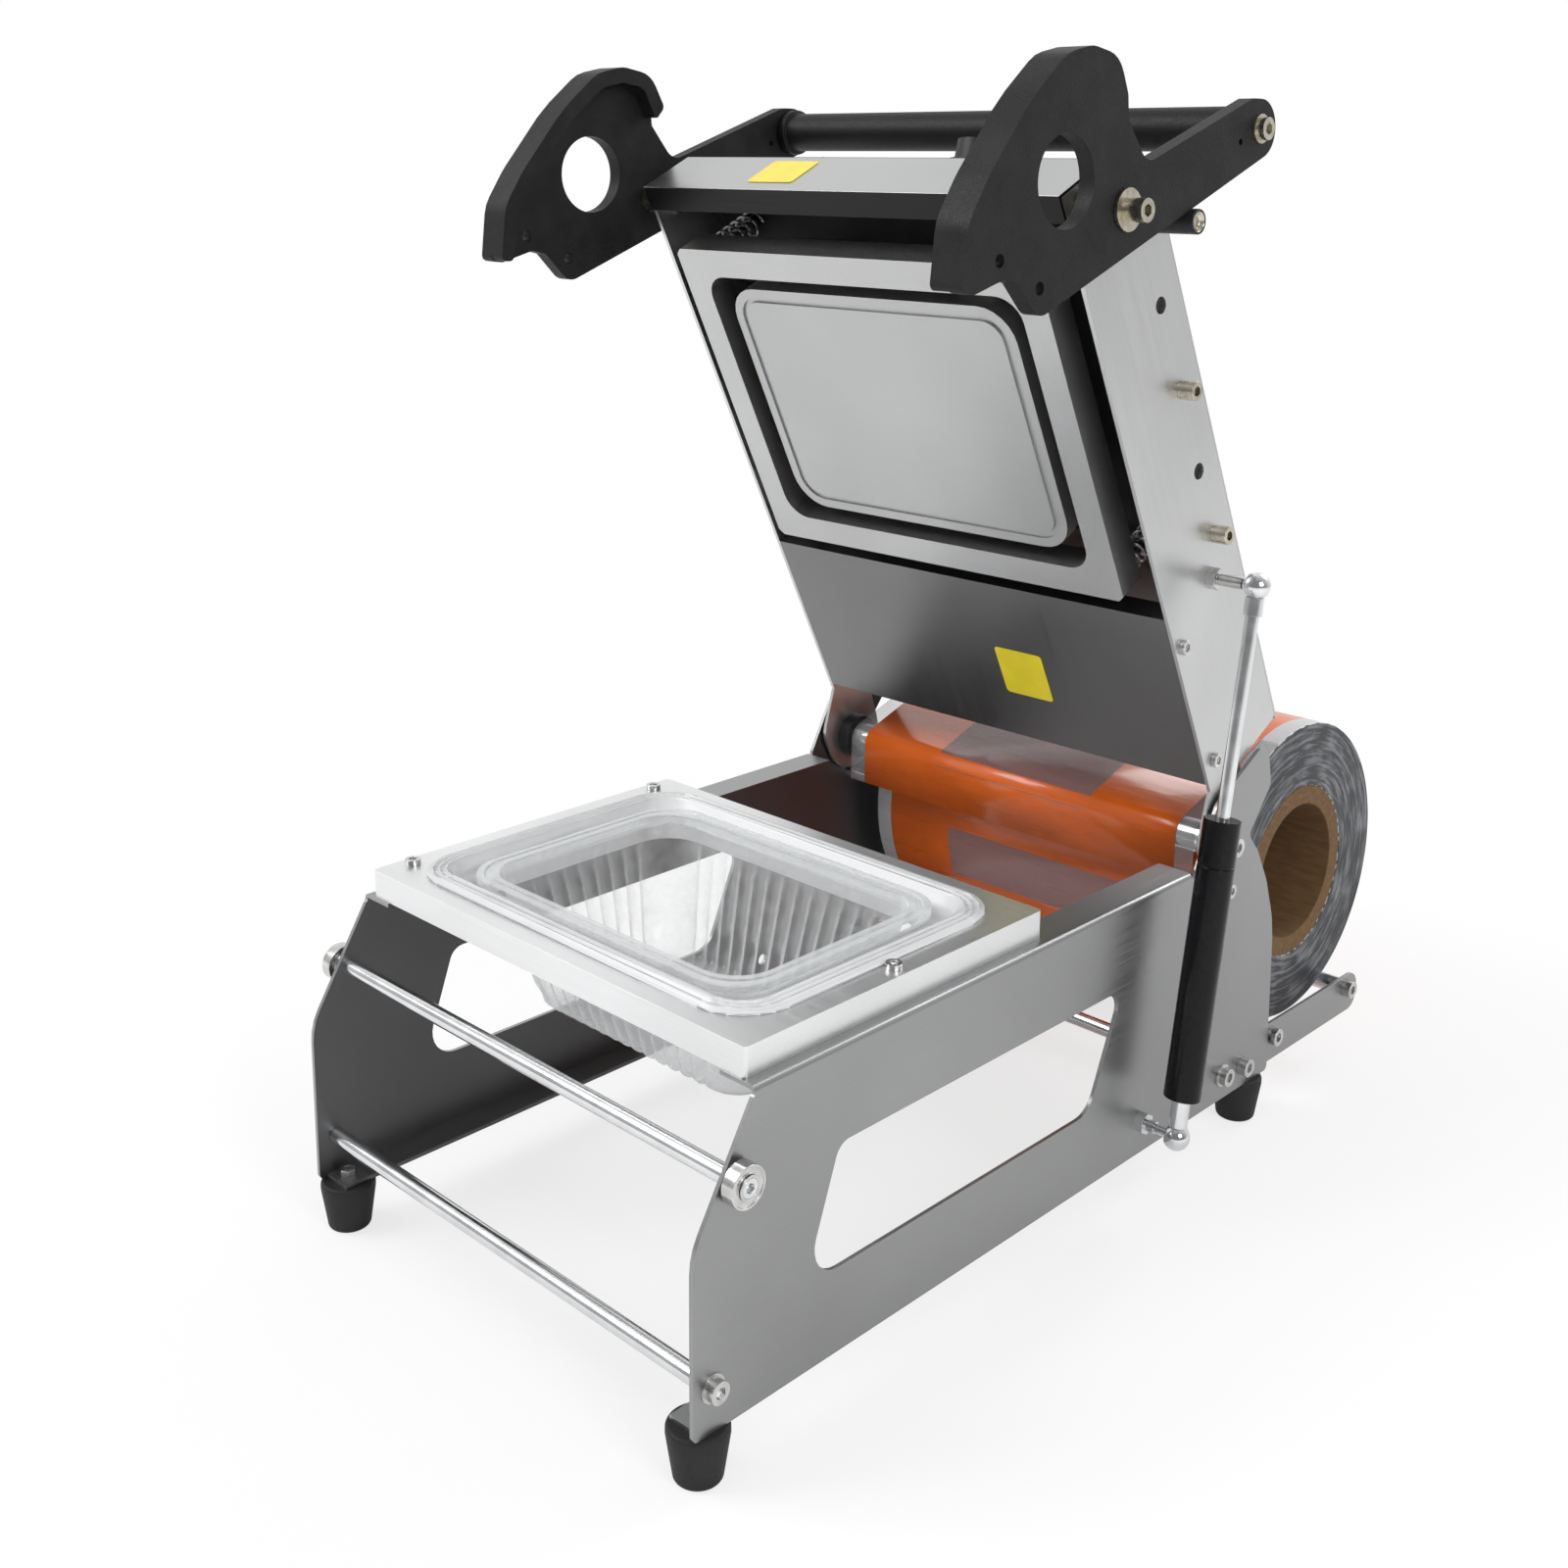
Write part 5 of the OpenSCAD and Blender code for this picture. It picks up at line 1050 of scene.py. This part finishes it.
@dataclass
class LidShell:
    """The lid's plates and covers, with its bolts, pins, studs and two blank patches."""

    sheet_edge: float = 0.35 * MM
    patch: float = 0.25 * MM
    patch_corner: float = 2 * MM
    front_patch: Size = (-46 * MM, -363 * MM, 16 * MM)
    under_patch: Size = (28 * MM, -86 * MM, -1 * MM)
    sleeve: float = 1.2 * MM
    head_rim: float = 1.4 * MM
    socket: float = 2.0 * MM
    pin_edge: float = 0.3 * MM

    def build(self) -> None:
        """Builds the lid."""
        soften_all(LID_STEEL, self.sheet_edge, "right_lid_plate", "left_lid_plate")
        soften("lid_cover", COVER_STEEL, self.sheet_edge)
        # The front cover's faces that do not look outwards, its lip among them, get near-black steel as painted
        # shade
        outside = -(ON_LID.to_3x3() @ Vector((0, 1, 0)))
        two_tone("front_cover", (COVER_STEEL, SHADED_LIP_STEEL), lambda normal: normal.dot(outside) < FACING,
                 self.sheet_edge)
        soften("under_cover", UNDER_STEEL, self.sheet_edge)
        soften("carrier_plate", SHEET_BLACK, self.sheet_edge)
        soften("lid_bolts", WARM_STEEL, 0.35 * MM)
        soften("cover_screws", SCREW_STEEL, 0.3 * MM)
        self._stop_pins()
        soften("strut_lid_stud", SCREW_STEEL, 0.35 * MM)
        soften("pivot_bolts", WARM_STEEL, 0.4 * MM)
        soften("cord_gland", PLASTIC_BLACK, 0.5 * MM)
        self._patches()

    def _stop_pins(self) -> None:
        """Dresses the stop pins: a black sleeve on each, with a bright screw head in its end."""
        bm = cad_copy("stop_pins")
        reach = max(abs(vert.co.x) for vert in bm.verts)
        ends = [face for face in bm.faces
                if abs(face.normal.x) > FACING and abs(face.calc_center_median().x) > reach - MM]
        bmesh.ops.inset_individual(bm, faces=ends, thickness=self.sleeve, depth=0.0)
        for face in ends:
            face.material_index = 1
        bmesh.ops.inset_individual(bm, faces=ends, thickness=self.head_rim, depth=0.0)
        for face in ends:
            bmesh.ops.translate(bm, vec=(-math.copysign(self.socket, face.normal.x), 0, 0), verts=face.verts)
        stand_in(bm, "stop_pins_dressed", "stop_pins", [SHEET_BLACK, WARM_STEEL], self.pin_edge)

    def _patches(self) -> None:
        """Lays a blank patch on the front cover and one on the cover under the lid."""
        front = Vector(self.front_patch) - Vector((0, self.patch / 2, 0))
        under = Vector(self.under_patch) - Vector((0, 0, self.patch / 2))
        for name, spot, turn, size in (("front_patch", front, math.pi / 2, (30 * MM, 22 * MM)),
                                       ("under_patch", under, math.pi, (30 * MM, 30 * MM))):
            place = ON_LID @ Matrix.Translation(spot) @ Matrix.Rotation(turn, 4, "X")
            bm = bmesh.new()
            rounded_plate(bm, size[0], size[1], self.patch_corner, 4)
            made = bmesh.ops.extrude_face_region(bm, geom=list(bm.faces))
            bmesh.ops.translate(bm, vec=(0, 0, self.patch), verts=new_verts(made))
            bmesh.ops.recalc_face_normals(bm, faces=bm.faces)
            bmesh.ops.transform(bm, matrix=place, verts=bm.verts)
            make_piece(bm, name, "lid", [PATCH_YELLOW])


@dataclass
class Controls:
    """The panel at the lid's front, with its knob, its marks, its switch and what is behind it."""

    mark_count: int = 11
    long_every: int = 5
    mark_sweep: float = 270.0
    mark_radius: float = 16.8 * MM
    long_mark: float = 2.2 * MM
    short_mark: float = 1.4 * MM
    mark_width: float = 0.6 * MM
    mark_height: float = 0.1 * MM

    def build(self) -> None:
        """Builds the controls."""
        soften("control_panel", SHEET_BLACK, 0.3 * MM)
        soften("rocker_switch", PLASTIC_BLACK, 0.4 * MM)
        soften("rocker_button", SWITCH_RED, 0.6 * MM, 3)
        soften("thermostat", CASE_CREAM, 0.5 * MM)
        self._knob()

    def _panel(self) -> Matrix:
        """Gives the knob's place on the panel, with Z out of the panel.

        Returns:
            The place.
        """
        joint = JOINTS["knob_turn"]
        out = -Vector(joint["axis"])
        side = Vector((1, 0, 0))
        turn = Matrix((side, out.cross(side), out)).transposed().to_4x4()
        return Matrix.Translation(Vector(joint["pos_m"])) @ turn

    def _knob(self) -> None:
        """Dresses the knob and lays the marks round it."""
        place = self._panel()
        soften("temperature_knob", PLASTIC_BLACK, 0.6 * MM, 3)
        bm = bmesh.new()
        for index in range(self.mark_count):
            angle = math.radians(90 + self.mark_sweep / 2 - index * self.mark_sweep / (self.mark_count - 1))
            length = self.short_mark if index % self.long_every else self.long_mark
            made = bmesh.ops.create_cube(bm, size=1.0)["verts"]
            bmesh.ops.scale(bm, vec=(length, self.mark_width, self.mark_height), verts=made)
            bmesh.ops.translate(bm, vec=(self.mark_radius, 0, self.mark_height / 2), verts=made)
            bmesh.ops.rotate(bm, cent=(0, 0, 0), matrix=Matrix.Rotation(angle, 3, "Z"), verts=made)
        bmesh.ops.transform(bm, matrix=place, verts=bm.verts)
        make_piece(bm, "dial_marks", "lid", [MARK_WHITE])


@dataclass
class PressHead:
    """The press frame on its springs, and the heating head inside it."""

    wire: float = 0.8 * MM
    coil_width: float = 14 * MM
    turns: int = 7
    steps_a_turn: int = 20
    sides: int = 10

    def build(self) -> None:
        """Builds the head."""
        soften("press_frame", FRAME_METAL, 0.9 * MM, 3)
        soften("heating_plate", PLATE_METAL, 0.5 * MM)
        soften_all(SCREW_STEEL, 0.3 * MM, "frame_posts", "head_posts")
        soften("heater_element", BRONZE, 0.6 * MM)
        soften("insulation_board", MICA, 0.3 * MM)
        soften("temperature_probe", WARM_STEEL, 0.3 * MM)
        self._springs()

    def _springs(self) -> None:
        """Winds the four springs as one piece."""
        to_lid = ON_LID.inverted()
        spring_mesh = frame["nodes"]["frame_springs"].data
        points = [to_lid @ vert.co for vert in spring_mesh.vertices]
        low = Vector([min(point[i] for point in points) for i in range(3)])
        high = Vector([max(point[i] for point in points) for i in range(3)])
        coil = self.coil_width / 2 - self.wire
        seats = [(x, y) for x in (low.x + coil + self.wire, high.x - coil - self.wire)
                 for y in (low.y + coil + self.wire, high.y - coil - self.wire)]
        rise = high.z - low.z - 2 * self.wire
        steps = self.turns * self.steps_a_turn
        bm = bmesh.new()
        for x, y in seats:
            ring = bmesh.ops.create_circle(bm, cap_ends=False, segments=self.sides, radius=self.wire)["verts"]
            bmesh.ops.rotate(bm, cent=(0, 0, 0), matrix=Matrix.Rotation(math.pi / 2, 3, "X"), verts=ring)
            bmesh.ops.translate(bm, vec=(x + coil, y, low.z + self.wire), verts=ring)
            edges = list({edge for vert in ring for edge in vert.link_edges})
            bmesh.ops.spin(bm, geom=ring + edges, cent=(x, y, 0), axis=(0, 0, 1),
                           dvec=(0, 0, rise / steps), angle=2 * math.pi * self.turns, steps=steps)
        bmesh.ops.holes_fill(bm, edges=[edge for edge in bm.edges if edge.is_boundary], sides=0)
        bmesh.ops.recalc_face_normals(bm, faces=bm.faces)
        bmesh.ops.transform(bm, matrix=ON_LID, verts=bm.verts)
        springs = stand_in(bm, "wound_springs", "frame_springs", [SPRING_WIRE])
        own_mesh(springs)


@dataclass
class CamLever:
    """The two black arms with the grip between them."""

    arm_edge: float = 0.8 * MM
    grip_edge: float = 0.8 * MM

    def build(self) -> None:
        """Builds the lever."""
        for node in ("right_lever_arm", "left_lever_arm"):
            soften(node, LEVER_BLACK, self.arm_edge, 3)
        soften("handle_grip", GRIP_BLACK, self.grip_edge, 3)
        carry_over("handle_bar", ROD_STEEL)
        soften("handle_bolts", WARM_STEEL, 0.35 * MM)


@dataclass
class GasStrut:
    """The black tube and its bright rod, with a ball socket on each end."""

    edge: float = 0.5 * MM

    def build(self) -> None:
        """Builds the strut."""
        soften("strut_cylinder", TUBE_BLACK, self.edge, 3)
        soften_all(ROD_STEEL, 0.3 * MM, "strut_rod", "strut_lower_socket", "strut_upper_socket",
                   "strut_base_stud")


@dataclass
class Lamp:
    """A soft square lamp that points at a place."""

    name: str
    place: Size
    target: Size
    size: float
    power: float

    def build(self) -> None:
        """Builds the lamp."""
        light = bpy.data.lights.new(self.name, "AREA")
        light.size = self.size
        light.energy = self.power
        lamp = bpy.data.objects.new(self.name, light)
        lamp.location = self.place
        aim = Vector(self.target) - Vector(self.place)
        lamp.rotation_euler = aim.to_track_quat("-Z", "Y").to_euler()
        bpy.context.scene.collection.objects.link(lamp)


@dataclass
class Studio:
    """The pale floor, the soft light and the camera at the photograph's angle."""

    camera_place: Size = (0.5848, -0.69225, 0.5030)
    camera_target: Size = (-0.0301, -0.06425, 0.31815)
    camera_roll: float = math.radians(0.43)
    lens: float = 42.1
    sensor: float = 36.0
    rise: float = -0.15
    floor_size: float = 8.0
    floor_colour: Colour = (0.9, 0.9, 0.9)
    world_colour: Colour = (1.0, 1.0, 1.0)
    world_light: float = 0.62
    floor_glow: float = 0.7
    shadow_reach: tuple[float, float] = (0.55, 1.3)
    behind: Size = (-0.62, 0.76, 0.2)
    grading: tuple[float, float] = (-0.5, 0.75)
    front_level: float = 0.25
    lamps: tuple[Lamp, ...] = (
        Lamp("key_lamp", (-1.3, -1.5, 1.9), (0, 0, 0.25), 1.3, 34.0),
        Lamp("side_lamp", (1.9, -0.5, 1.3), (0, 0, 0.25), 0.9, 17.0),
        Lamp("rear_lamp", (0.4, 1.9, 1.7), (0, 0, 0.3), 1.0, 16.0))

    def build(self) -> None:
        """Builds the studio."""
        self._camera()
        self._floor()
        self._world()
        for lamp in self.lamps:
            lamp.build()
        bpy.context.scene.view_settings.view_transform = "Standard"

    def _camera(self) -> None:
        """Sets the camera up."""
        ahead = (Vector(self.camera_target) - Vector(self.camera_place)).normalized()
        right = ahead.cross(Vector((0, 0, 1))).normalized()
        up = right.cross(ahead)
        cos, sin = math.cos(self.camera_roll), math.sin(self.camera_roll)
        turn = Matrix((cos * right + sin * up, cos * up - sin * right, -ahead)).transposed()
        data = bpy.data.cameras.new("photo_camera")
        data.lens = self.lens
        data.sensor_width = self.sensor
        data.shift_y = self.rise
        data.clip_start = 0.01
        camera = bpy.data.objects.new("photo_camera", data)
        camera.matrix_world = Matrix.Translation(Vector(self.camera_place)) @ turn.to_4x4()
        bpy.context.scene.collection.objects.link(camera)
        bpy.context.scene.camera = camera

    def _floor(self) -> None:
        """Lays the floor: matt white that keeps a soft shadow."""
        bm = bmesh.new()
        bmesh.ops.create_grid(bm, x_segments=1, y_segments=1, size=self.floor_size / 2)
        mesh = bpy.data.meshes.new("studio_floor")
        bm.to_mesh(mesh)
        bm.free()
        material = bpy.data.materials.new("studio_floor")
        graph = NodeGraph(material)
        matt = graph.node("ShaderNodeBsdfDiffuse")
        graph.feed(matt.inputs["Color"], self.floor_colour)
        distance = graph.node("ShaderNodeVectorMath", operation="LENGTH")
        graph.feed(distance.inputs[0], graph.coordinates.outputs["Object"])
        fade = graph.spread(distance.outputs["Value"], self.floor_glow, 1.0, *self.shadow_reach)
        mix = graph.node("ShaderNodeMixShader")
        graph.feed(mix.inputs[0], graph.calc("MULTIPLY", graph.seen(), fade))
        graph.feed(mix.inputs[1], matt.outputs[0])
        graph.feed(mix.inputs[2], graph.node("ShaderNodeEmission").outputs[0])
        graph.feed(graph.node("ShaderNodeOutputMaterial").inputs["Surface"], mix.outputs[0])
        mesh.materials.append(material)
        floor = bpy.data.objects.new("studio_floor", mesh)
        bpy.context.scene.collection.objects.link(floor)

    def _world(self) -> None:
        """Makes the surroundings white to the camera, graded to reflections and softer as a light."""
        world = bpy.data.worlds.new("studio")
        bpy.context.scene.world = world
        graph = NodeGraph(world)
        facing = graph.node("ShaderNodeVectorMath", operation="DOT_PRODUCT")
        graph.feed(facing.inputs[0], graph.coordinates.outputs["Generated"])
        graph.feed(facing.inputs[1], self.behind)
        graded = graph.spread(facing.outputs["Value"], self.front_level, 1.0, *self.grading)
        glossy = graph.node("ShaderNodeLightPath").outputs["Is Glossy Ray"]
        light = graph.blend(glossy, self.world_light, graded)
        background = graph.node("ShaderNodeBackground")
        graph.feed(background.inputs["Color"], self.world_colour)
        graph.feed(background.inputs["Strength"], graph.blend(graph.seen(), light, 1.0))
        graph.feed(graph.node("ShaderNodeOutputWorld").inputs["Surface"], background.outputs[0])


def main() -> None:
    """Builds the machine, sub-assembly by sub-assembly."""
    logging.basicConfig(level=logging.INFO, format="%(name)s: %(message)s")
    for part in (Studio(), BaseStand(), MouldStation(), FilmPath(), LidShell(), Controls(), PressHead(),
                 CamLever(), GasStrut()):
        log.info("building %s", type(part).__name__)
        part.build()


if __name__ == "__main__":
    main()
